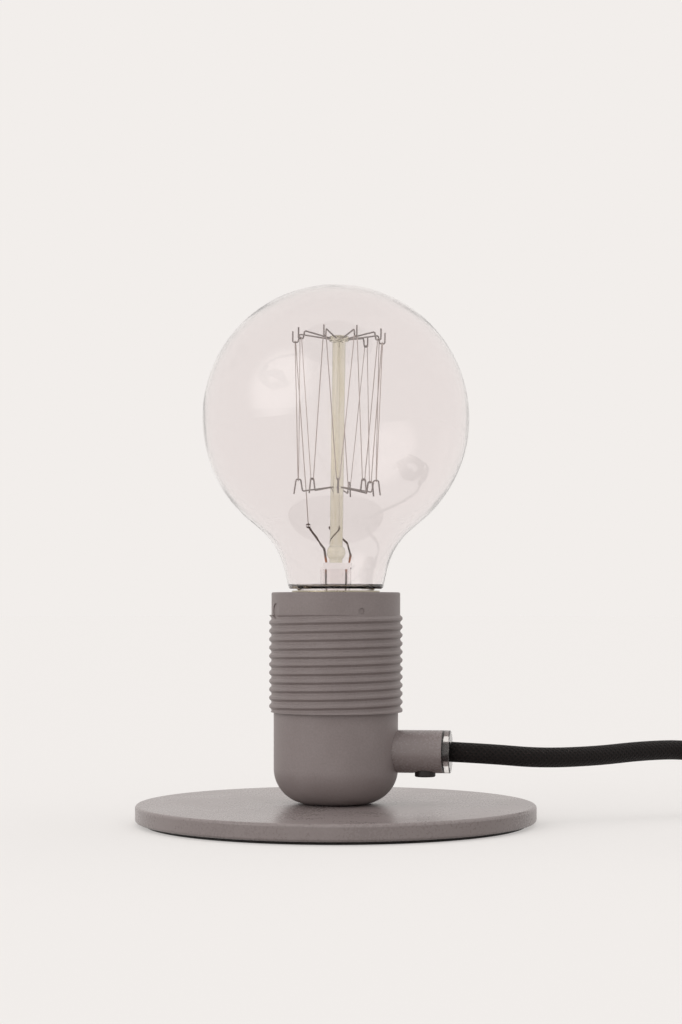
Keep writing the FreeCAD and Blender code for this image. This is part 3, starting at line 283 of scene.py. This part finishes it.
def blown_glass(looks):
    # Soda-lime glass, blown in a mould: clear, faintly warm, with slow waves in its wall.
    made, tree, shader = material(
        "blown_clear_glass",
        {
            "Base Color": tuple(looks.glass) + (1.0,),
            "Roughness": 0.0,
            "IOR": 1.5,
            "Transmission Weight": 1.0,
        },
    )
    place = add(tree, "ShaderNodeTexCoord").outputs["Object"]
    wave = add(tree, "ShaderNodeTexNoise", {"Vector": place, "Scale": per_mm(16), "Detail": 1.0})
    bump = add(tree, "ShaderNodeBump", {"Height": wave.outputs["Fac"], "Distance": 0.10 * MM})
    tree.links.new(bump.outputs["Normal"], shader.inputs["Normal"])
    return made


def drawn_rod_glass():
    # Drawn glass rod with a cream cast: glossy, lighter at its heart, with drawing streaks.
    made, tree, shader = material(
        "drawn_cream_glass",
        {"Roughness": 0.1, "IOR": 1.5, "Transmission Weight": 0.85},
    )
    place = add(tree, "ShaderNodeTexCoord").outputs["Object"]
    drawn = add(tree, "ShaderNodeMapping", {"Vector": place, "Scale": (1.0, 1.0, 0.05)})
    streak = add(tree, "ShaderNodeTexNoise", {"Vector": drawn.outputs["Vector"], "Scale": per_mm(0.7)})
    tone = add(tree, "ShaderNodeValToRGB", {"Fac": streak.outputs["Fac"]})
    tone.color_ramp.elements[0].position = 0.35
    tone.color_ramp.elements[0].color = colour("#F6F1DA")
    tone.color_ramp.elements[1].position = 0.65
    tone.color_ramp.elements[1].color = colour("#FDFBEE")
    tree.links.new(tone.outputs["Color"], shader.inputs["Base Color"])
    return made


def rolled_cap_metal():
    # Thin brass sheet, drawn and rolled into a thread, nickel washed: pale and slightly streaked.
    return mottled("rolled_nickel_brass", "#B5AC98", "#D2CBB9", 1.0, (0.24, 0.38), 0.005, {"Metallic": 1.0})


def basing_compound():
    # Resin-bound marble flour, set in the cap: tan and chalky.
    return mottled("basing_cement", "#B79B6C", "#D3BC8E", 0.6, (0.7, 0.85), 0.03)


def cast_black_glass():
    # Opaque vitrite cast in the cap's end: black and glossy.
    return mottled("cast_vitrite", "#0D0C10", "#1B1A20", 1.0, (0.12, 0.22), 0.006)


def solder_tin():
    # A drop of solder, wiped flat: grey with a dull skin.
    return mottled("wiped_solder", "#A8A9AA", "#C6C7C8", 0.9, (0.3, 0.5), 0.03, {"Metallic": 1.0})


def drawn_molybdenum():
    # Drawn molybdenum wire, bent cold: dark grey with a low shine.
    return mottled("drawn_molybdenum", "#8A817E", "#AAA29F", 0.3, (0.34, 0.46), 0.004, {"Metallic": 0.8})


def drawn_tungsten():
    # Tungsten wire, wound and flashed: grey brown, dull from its crystals.
    return mottled("drawn_tungsten", "#BDB0AA", "#D8CDC8", 0.2, (0.4, 0.55), 0.006, {"Metallic": 0.6})


def lead_wire():
    # Nickel wire, grey brown, with a copper-clad length where it passes the glass seal.
    made, tree, shader = material("nickel_and_copper_wire", {"Metallic": 0.9})
    place = add(tree, "ShaderNodeTexCoord").outputs["Object"]
    height = add(tree, "ShaderNodeSeparateXYZ", {"Vector": place}).outputs["Z"]
    off = add(tree, "ShaderNodeMath", {0: height, 1: SEAL_HEIGHT}, operation="SUBTRACT")
    far = add(tree, "ShaderNodeMath", {0: off.outputs[0]}, operation="ABSOLUTE")
    grain = add(tree, "ShaderNodeTexNoise", {"Vector": place, "Scale": per_mm(0.5), "Detail": 3.0})
    fleck = add(
        tree,
        "ShaderNodeMath",
        {0: grain.outputs["Fac"], 1: 2 * MM, 2: far.outputs[0]},
        operation="MULTIPLY_ADD",
    )
    tone = add(
        tree,
        "ShaderNodeMapRange",
        {
            "Value": fleck.outputs[0],
            "From Min": SEAL_REACH,
            "From Max": SEAL_FADE,
            "To Min": 0.0,
            "To Max": 1.0,
        },
    )
    paint = add(tree, "ShaderNodeValToRGB", {"Fac": tone.outputs["Result"]})
    paint.color_ramp.elements[0].color = colour("#B9744A")
    paint.color_ramp.elements[1].color = colour("#6B5F5A")
    tree.links.new(paint.outputs["Color"], shader.inputs["Base Color"])
    gloss = add(tree, "ShaderNodeMapRange", {"Value": grain.outputs["Fac"], "To Min": 0.28, "To Max": 0.5})
    tree.links.new(gloss.outputs["Result"], shader.inputs["Roughness"])
    return made


def nickel_plated_brass():
    # Turned pins with bright nickel: mirror-like, with fine turning marks.
    return mottled("nickel_plated_brass", "#BDB6A8", "#D8D2C6", 0.7, (0.12, 0.24), 0.004, {"Metallic": 1.0})


def braided_textile(looks):
    # Polyester braid over the cord: black-brown yarns crossing at 45 degrees, matte with a soft sheen, with
    # painted shade in the gaps between the yarns.
    made, tree, shader = material(
        "braided_textile",
        {"Roughness": 0.8, "Sheen Weight": 0.05, "Specular IOR Level": 0.25, "Sheen Roughness": 0.5},
    )
    place = add(tree, "ShaderNodeUVMap", uv_map="along").outputs["UV"]
    parts = add(tree, "ShaderNodeSeparateXYZ", {"Vector": place})
    around = 2 * math.pi * looks.cord_carriers / 2
    # One yarn step along the cord is as long as it is wide around it, so the yarns cross at 45 degrees.
    along = around / (math.pi * looks.cord_diameter / MM)
    a = add(tree, "ShaderNodeMath", {0: parts.outputs["X"], 1: along}, operation="MULTIPLY")
    b = add(tree, "ShaderNodeMath", {0: parts.outputs["Y"], 1: around}, operation="MULTIPLY")
    up = add(tree, "ShaderNodeMath", {0: a.outputs[0], 1: b.outputs[0]}, operation="ADD")
    down = add(tree, "ShaderNodeMath", {0: a.outputs[0], 1: b.outputs[0]}, operation="SUBTRACT")
    wave_up = add(tree, "ShaderNodeMath", {0: up.outputs[0]}, operation="SINE")
    wave_down = add(tree, "ShaderNodeMath", {0: down.outputs[0]}, operation="SINE")
    yarns = add(tree, "ShaderNodeMath", {0: wave_up.outputs[0], 1: wave_down.outputs[0]}, operation="MAXIMUM")
    fibre = add(tree, "ShaderNodeTexNoise", {"Vector": place, "Scale": 9.0, "Detail": 4.0})
    mixed = add(
        tree,
        "ShaderNodeMath",
        {0: yarns.outputs[0], 1: fibre.outputs["Fac"], 2: 0.0},
        operation="MULTIPLY_ADD",
    )
    # The colour runs from painted shade in the gaps between the yarns to the yarn colour on their crowns; the
    # fibre noise gives the yarns their own uneven tone.
    tone = add(tree, "ShaderNodeValToRGB", {"Fac": mixed.outputs[0]})
    tone.color_ramp.elements[0].position = 0.05
    tone.color_ramp.elements[0].color = tuple(looks.painted_gap_shade) + (1.0,)
    tone.color_ramp.elements[1].position = 0.6
    tone.color_ramp.elements[1].color = tuple(looks.yarn_light) + (1.0,)
    tree.links.new(tone.outputs["Color"], shader.inputs["Base Color"])
    bump = add(tree, "ShaderNodeBump", {"Height": mixed.outputs[0], "Distance": 0.22 * MM, "Strength": 0.9})
    tree.links.new(bump.outputs["Normal"], shader.inputs["Normal"])
    return made


# ---------------------------------------------------------------- cord


def coil_points():
    """Control points of the put-away coil: in on the lower layer, out on the upper one."""
    reach = [COIL_INNER, COIL_INNER + COIL_NEAR_STEP]
    while len(reach) <= COIL_IN:
        reach.append(reach[-1] + COIL_HALF_STEP)
    halves = [(reach[COIL_IN - k], reach[COIL_IN - k - 1], COIL_LOW, COIL_LOW) for k in range(COIL_IN)]
    halves.append((reach[0], reach[0], COIL_LOW, COIL_HIGH))
    halves += [(reach[k], reach[k + 1], COIL_HIGH, COIL_HIGH) for k in range(COIL_OUT)]
    # The spline runs inside its control points by this much, so they stand out by it.
    out = 1.0 / math.cos(math.pi / (2 * HALF_TURN_POINTS))
    points = []
    for turn, (start, end, low, high) in enumerate(halves):
        for step in range(HALF_TURN_POINTS):
            part = step / HALF_TURN_POINTS
            angle = -math.pi * (turn + part)
            radius = (start + (end - start) * part) * out
            x = COIL_CENTRE[0] + radius * math.cos(angle)
            y = COIL_CENTRE[1] + radius * math.sin(angle)
            points.append((x, y, low + (high - low) * part))
    last = halves[-1][1]
    points.append((COIL_CENTRE[0] + last, COIL_CENTRE[1], COIL_HIGH))
    return points


def points_along(name, route):
    """Points read from the smooth spline that has the route's points as its control points."""
    data = bpy.data.curves.new(name, "CURVE")
    data.dimensions = "3D"
    data.resolution_u = 8
    line = data.splines.new("NURBS")
    line.points.add(len(route) - 1)
    for point, place in zip(line.points, route):
        point.co = (*place, 1.0)
    line.order_u = 3
    line.use_endpoint_u = True
    holder = bpy.data.objects.new(name, data)
    bpy.context.scene.collection.objects.link(holder)
    bpy.context.view_layer.update()
    read = bpy.data.meshes.new_from_object(holder)
    places = [v.co.copy() for v in read.vertices]
    bpy.data.objects.remove(holder)
    bpy.data.meshes.remove(read)
    kept = places[:1]
    for place in places[1:]:
        if (place - kept[-1]).length > POINT_GAP:
            kept.append(place)
    return kept


def cord_tube(name, path, diameter, sides, finish):
    """A round cord along a path, with its length in millimetres in its map for the braid."""
    form = bmesh.new()
    layer = form.loops.layers.uv.new("along")
    ways = [
        (path[min(i + 1, len(path) - 1)] - path[max(i - 1, 0)]).normalized() for i in range(len(path))
    ]
    side = ways[0].cross(Vector((0.0, 0.0, 1.0))).normalized()
    rings, lengths, run = [], [], 0.0
    for i, (place, way) in enumerate(zip(path, ways)):
        side = (side - way * side.dot(way)).normalized()
        over = way.cross(side)
        run += (place - path[i - 1]).length if i else 0.0
        lengths.append(run / MM)
        ring = []
        for k in range(sides):
            angle = 2 * math.pi * k / sides
            spoke = side * math.cos(angle) + over * math.sin(angle)
            ring.append(form.verts.new(place + spoke * (diameter / 2)))
        rings.append(ring)
    for i in range(len(rings) - 1):
        for k in range(sides):
            m = (k + 1) % sides
            face = form.faces.new((rings[i][k], rings[i + 1][k], rings[i + 1][m], rings[i][m]))
            face.smooth = True
            at = ((i, k), (i + 1, k), (i + 1, k + 1), (i, k + 1))
            for loop, (row, column) in zip(face.loops, at):
                loop[layer].uv = (lengths[row], column / sides)
    form.faces.new(rings[0])
    form.faces.new(list(reversed(rings[-1])))
    bmesh.ops.recalc_face_normals(form, faces=form.faces)
    mesh = bpy.data.meshes.new(name)
    form.to_mesh(mesh)
    form.free()
    mesh.materials.append(finish)
    shape = bpy.data.objects.new(name, mesh)
    bpy.context.scene.collection.objects.link(shape)
    return shape


# ---------------------------------------------------------------- settings


class CoatLooks(bpy.types.PropertyGroup):
    """Colours of the coated and lacquered parts."""

    coat: bpy.props.FloatVectorProperty(
        name="Coat",
        description="Lighter tone of the grey coat",
        subtype="COLOR",
        size=3,
        min=0.0,
        max=1.0,
        default=colour("#908583")[:3],
    )
    coat_dark: bpy.props.FloatVectorProperty(
        name="Coat, darker",
        description="Darker tone of the grey coat",
        subtype="COLOR",
        size=3,
        min=0.0,
        max=1.0,
        default=colour("#857A78")[:3],
    )


class CordLooks(bpy.types.PropertyGroup):
    """Size and yarns of the braided cord, and the shade painted in the gaps between the yarns."""

    cord_diameter: bpy.props.FloatProperty(
        name="Diameter",
        description="Outside diameter of the braided cord",
        subtype="DISTANCE",
        unit="LENGTH",
        default=0.006,
        min=0.004,
        max=0.008,
    )
    cord_carriers: bpy.props.IntProperty(
        name="Carriers",
        description="Yarn bundles in the braid, half of them each way round",
        default=24,
        min=12,
        max=48,
    )
    # Painted shade: the colour laid in the gaps between the yarns, darker than the yarns themselves.
    painted_gap_shade: bpy.props.FloatVectorProperty(
        name="Yarn, in the gaps",
        description="Colour between the yarns",
        subtype="COLOR",
        size=3,
        min=0.0,
        max=1.0,
        default=colour("#080605")[:3],
    )
    yarn_light: bpy.props.FloatVectorProperty(
        name="Yarn",
        description="Colour of the yarns",
        subtype="COLOR",
        size=3,
        min=0.0,
        max=1.0,
        default=colour("#1E1513")[:3],
    )


class BulbLooks(bpy.types.PropertyGroup):
    """Tint of the bulb's glass."""

    glass: bpy.props.FloatVectorProperty(
        name="Glass",
        description="Tint of the blown glass",
        subtype="COLOR",
        size=3,
        min=0.0,
        max=1.0,
        default=colour("#F8F5F5")[:3],
    )


class StageLooks(bpy.types.PropertyGroup):
    """Camera, floor and light."""

    camera_distance: bpy.props.FloatProperty(
        name="Camera distance",
        description="Distance from the lamp's axis to the camera",
        subtype="DISTANCE",
        unit="LENGTH",
        default=0.63,
        min=0.3,
        max=3.0,
    )
    camera_turn: bpy.props.FloatProperty(
        name="Camera turn",
        description="How far the camera stands round the lamp towards the cord",
        subtype="ANGLE",
        unit="ROTATION",
        default=math.radians(8.5),
        min=-math.pi,
        max=math.pi,
    )
    camera_height: bpy.props.FloatProperty(
        name="Camera height",
        description="Height of the level camera over the floor",
        subtype="DISTANCE",
        unit="LENGTH",
        default=0.0655,
        min=0.01,
        max=1.0,
    )
    floor: bpy.props.FloatVectorProperty(
        name="Floor",
        description="Colour of the floor",
        subtype="COLOR",
        size=3,
        min=0.0,
        max=1.0,
        default=colour("#EFEBE8")[:3],
    )
    backdrop: bpy.props.FloatVectorProperty(
        name="Backdrop",
        description="Colour behind the lamp",
        subtype="COLOR",
        size=3,
        min=0.0,
        max=1.0,
        default=colour("#F2EEEB")[:3],
    )
    light: bpy.props.FloatProperty(
        name="Room light",
        description="Strength of the even light from all round",
        default=0.8,
        min=0.0,
        max=2.0,
    )
    softbox: bpy.props.FloatProperty(
        name="Softbox",
        description="Strength of the softbox over the room light",
        default=1.3,
        min=0.0,
        max=10.0,
    )
    softbox_turn: bpy.props.FloatProperty(
        name="Softbox turn",
        description="How far the softbox stands round the lamp, from its front",
        subtype="ANGLE",
        unit="ROTATION",
        default=math.radians(-44),
        min=-math.pi,
        max=math.pi,
    )
    softbox_lift: bpy.props.FloatProperty(
        name="Softbox lift",
        description="Height of the softbox over the horizon",
        subtype="ANGLE",
        unit="ROTATION",
        default=math.radians(24),
        min=0.0,
        max=math.pi / 2,
    )


# ---------------------------------------------------------------- making


class LAMP_OT_camera(bpy.types.Operator):
    """Set up the level camera"""

    bl_idname = "bare_lamp.camera"
    bl_label = "Set up camera"

    def execute(self, context):
        stage = context.scene.lamp_stage
        data = bpy.data.cameras.new("camera")
        data.lens = LENS
        data.sensor_width = SENSOR
        data.shift_y = SHIFT_UP
        data.clip_start = 0.01
        data.clip_end = 50.0
        camera = bpy.data.objects.new("camera", data)
        context.scene.collection.objects.link(camera)
        turn = stage.camera_turn
        reach = stage.camera_distance
        camera.location = (reach * math.sin(turn), -reach * math.cos(turn), stage.camera_height)
        camera.rotation_euler = (math.pi / 2, 0.0, turn - AIM_OFF)
        context.scene.camera = camera
        return {"FINISHED"}


class LAMP_OT_cords(bpy.types.Operator):
    """Lay the braided cord from the holder to the switch, and on to its coil and plug"""

    bl_idname = "bare_lamp.cords"
    bl_label = "Lay cords"

    def execute(self, context):
        looks = context.scene.lamp_cord
        finish = braided_textile(looks)
        thick = looks.cord_diameter

        path = points_along("lead_route", LEAD_ROUTE)
        lead = cord_tube("braided_lead", path, thick, LEAD_SIDES, finish)
        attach(lead, "lamp")
        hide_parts("cord_lead")

        path = points_along("coil_route", LINK_ROUTE[:-1] + coil_points() + TAIL_ROUTE)
        rest = cord_tube("braided_coil", path, thick, REST_SIDES, finish)
        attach(rest, "lamp")
        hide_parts("cord_link", "cord_coil", "cord_tail")
        return {"FINISHED"}


class LAMP_OT_base(bpy.types.Operator):
    """Finish the round base and what holds the cup on it"""

    bl_idname = "bare_lamp.base"
    bl_label = "Finish base"

    def execute(self, context):
        dress(powder_coated_steel(context.scene.lamp_coat), "base_plate", "stub")
        dress(wool_felt(), "base_pad")
        dress(zinc_plated_steel(), "base_bolt", "lock_washer", "base_nut", "stub_nut")
        return {"FINISHED"}


class LAMP_OT_holder(bpy.types.Operator):
    """Finish the lamp holder, inside and out"""

    bl_idname = "bare_lamp.holder"
    bl_label = "Finish holder"

    def execute(self, context):
        dress(lacquered_bakelite(context.scene.lamp_coat), "cup", "sleeve")
        dress(glazed_steatite(), "insert")
        dress(turned_brass(), "shell_contact", "centre_leaf", "terminal_blocks", "terminal_screws")
        dress(core_insulation("brown_core", "#4A2C1C", "#5E3926"), "live_core")
        dress(core_insulation("blue_core", "#1E3E7A", "#2A5096"), "neutral_core")
        return {"FINISHED"}


class LAMP_OT_outlet(bpy.types.Operator):
    """Finish the cord outlet: its clear bush, its screw and the pad on the cord"""

    bl_idname = "bare_lamp.outlet"
    bl_label = "Finish cord outlet"

    def execute(self, context):
        dress(clear_acrylic(), "gland")
        dress(moulded_nylon(), "grip_pad", "grip_screw")
        dress(core_insulation("dark_sheath", "#241C1A", "#362C29"), "inner_cord")
        return {"FINISHED"}


class LAMP_OT_bulb(bpy.types.Operator):
    """Finish the globe, its cap and the filament cage"""

    bl_idname = "bare_lamp.bulb"
    bl_label = "Finish bulb"

    def execute(self, context):
        glass = blown_glass(context.scene.lamp_bulb)
        dress(glass, "bulb_glass", "stem")
        dress(drawn_rod_glass(), "support_rod")
        dress(rolled_cap_metal(), "bulb_cap")
        dress(basing_compound(), "basing_cement")
        dress(cast_black_glass(), "bulb_insulator")
        dress(solder_tin(), "bulb_contact")
        dress(drawn_molybdenum(), "upper_supports", "lower_supports")
        dress(drawn_tungsten(), "filament")
        dress(lead_wire(), "lead_wires")
        return {"FINISHED"}


class LAMP_OT_fittings(bpy.types.Operator):
    """Finish the switch, the plug and the strap on the coil"""

    bl_idname = "bare_lamp.fittings"
    bl_label = "Finish switch, plug and strap"

    def execute(self, context):
        plastic = moulded_abs()
        dress(plastic, "switch_bottom", "switch_top", "plug_body", "plug_relief")
        dress(moulded_nylon(), "rocker")
        dress(zinc_plated_steel(), "switch_screws", "rocker_pin")
        dress(turned_brass(), "switch_contacts")
        dress(nickel_plated_brass(), "plug_pins")
        dress(woven_strap(), "coil_tie")
        return {"FINISHED"}


class LAMP_OT_stage(bpy.types.Operator):
    """Make the pale floor and the soft light"""

    bl_idname = "bare_lamp.stage"
    bl_label = "Make floor and light"

    def execute(self, context):
        looks = context.scene.lamp_stage
        form = bmesh.new()
        bmesh.ops.create_circle(form, cap_ends=True, segments=96, radius=FLOOR_RADIUS)
        mesh = bpy.data.meshes.new("floor")
        form.to_mesh(mesh)
        form.free()
        floor = bpy.data.objects.new("floor", mesh)
        context.scene.collection.objects.link(floor)

        # Matte painted board: even, with the lamp's own soft shadow on it.
        made = bpy.data.materials.new("matte_painted_board")
        made.use_nodes = True
        tree = made.node_tree
        tree.nodes.clear()
        tint = colour(looks.floor)
        seen = seen_rays(tree)
        share = add(tree, "ShaderNodeMath", {0: seen, 1: 0.5}, operation="MULTIPLY")
        paint = add(tree, "ShaderNodeBsdfDiffuse", {"Color": tint})
        white = add(tree, "ShaderNodeEmission", {"Color": tint, "Strength": 1.0})
        mixed = add(
            tree,
            "ShaderNodeMixShader",
            {0: share.outputs[0], 1: paint.outputs["BSDF"], 2: white.outputs["Emission"]},
        )
        # What the board throws back on the lamp is weaker, as from a table in a wide room.
        back = add(tree, "ShaderNodeBsdfDiffuse", {"Color": colour("#A5A09D")})
        board = add(
            tree,
            "ShaderNodeMixShader",
            {0: seen, 1: back.outputs["BSDF"], 2: mixed.outputs["Shader"]},
        )
        add(tree, "ShaderNodeOutputMaterial", {"Surface": board.outputs["Shader"]})
        mesh.materials.append(made)

        world = bpy.data.worlds.new("even_room")
        world.use_nodes = True
        tree = world.node_tree
        tree.nodes.clear()
        seen = seen_rays(tree)
        # One big softbox with a fading edge, up and to the left of the camera.
        turn, lift = looks.softbox_turn, looks.softbox_lift
        aim = (math.sin(turn) * math.cos(lift), -math.cos(turn) * math.cos(lift), math.sin(lift))
        way = add(tree, "ShaderNodeTexCoord").outputs["Generated"]
        near = add(tree, "ShaderNodeVectorMath", {0: way, 1: aim}, operation="DOT_PRODUCT")
        lobe = add(
            tree,
            "ShaderNodeMapRange",
            {
                "Value": near.outputs["Value"],
                "From Min": SOFTBOX_EDGE,
                "From Max": SOFTBOX_FULL,
                "To Min": 0.0,
                "To Max": looks.softbox,
            },
            interpolation_type="SMOOTHERSTEP",
        )
        room = add(tree, "ShaderNodeMath", {0: lobe.outputs["Result"], 1: looks.light}, operation="ADD")
        light = add(
            tree,
            "ShaderNodeBackground",
            {"Color": (1.0, 1.0, 1.0, 1.0), "Strength": room.outputs[0]},
        )
        more = add(tree, "ShaderNodeMath", {0: lobe.outputs["Result"], 1: 1.0}, operation="ADD")
        back = add(
            tree,
            "ShaderNodeBackground",
            {"Color": colour(looks.backdrop), "Strength": more.outputs[0]},
        )
        mixed = add(
            tree,
            "ShaderNodeMixShader",
            {0: seen, 1: light.outputs["Background"], 2: back.outputs["Background"]},
        )
        add(tree, "ShaderNodeOutputWorld", {"Surface": mixed.outputs["Shader"]})
        context.scene.world = world

        # A wide lamp overhead, which polished parts don't mirror.
        data = bpy.data.lights.new("soft_top", "SUN")
        data.energy = OVERHEAD_POWER
        data.angle = OVERHEAD_SPREAD
        lamp = bpy.data.objects.new("soft_top", data)
        lamp.rotation_euler = OVERHEAD_TILT
        lamp.visible_glossy = False
        lamp.visible_transmission = False
        context.scene.collection.objects.link(lamp)
        context.scene.view_settings.view_transform = "Standard"
        return {"FINISHED"}


class LAMP_PT_panel(bpy.types.Panel):
    """The lamp's settings and steps"""

    bl_idname = "LAMP_PT_panel"
    bl_label = "Bare bulb table lamp"
    bl_space_type = "VIEW_3D"
    bl_region_type = "UI"
    bl_category = "Lamp"

    def draw(self, context):
        for group in ("lamp_coat", "lamp_cord", "lamp_bulb", "lamp_stage"):
            box = self.layout.box()
            looks = getattr(context.scene, group)
            for name in looks.__annotations__:
                box.prop(looks, name)
        for step in STEPS:
            self.layout.operator(step.bl_idname)


LOOKS = {
    "lamp_coat": CoatLooks,
    "lamp_cord": CordLooks,
    "lamp_bulb": BulbLooks,
    "lamp_stage": StageLooks,
}
STEPS = (
    LAMP_OT_camera,
    LAMP_OT_cords,
    LAMP_OT_base,
    LAMP_OT_holder,
    LAMP_OT_outlet,
    LAMP_OT_bulb,
    LAMP_OT_fittings,
    LAMP_OT_stage,
)


def register():
    for name, group in LOOKS.items():
        bpy.utils.register_class(group)
        setattr(bpy.types.Scene, name, bpy.props.PointerProperty(type=group))
    for step in STEPS:
        bpy.utils.register_class(step)
    bpy.utils.register_class(LAMP_PT_panel)


def unregister():
    bpy.utils.unregister_class(LAMP_PT_panel)
    for step in reversed(STEPS):
        bpy.utils.unregister_class(step)
    for name, group in LOOKS.items():
        delattr(bpy.types.Scene, name)
        bpy.utils.unregister_class(group)


def main():
    register()
    bpy.ops.bare_lamp.camera()
    bpy.ops.bare_lamp.cords()
    bpy.ops.bare_lamp.base()
    bpy.ops.bare_lamp.holder()
    bpy.ops.bare_lamp.outlet()
    bpy.ops.bare_lamp.bulb()
    bpy.ops.bare_lamp.fittings()
    bpy.ops.bare_lamp.stage()


if __name__ == "__main__":
    main()
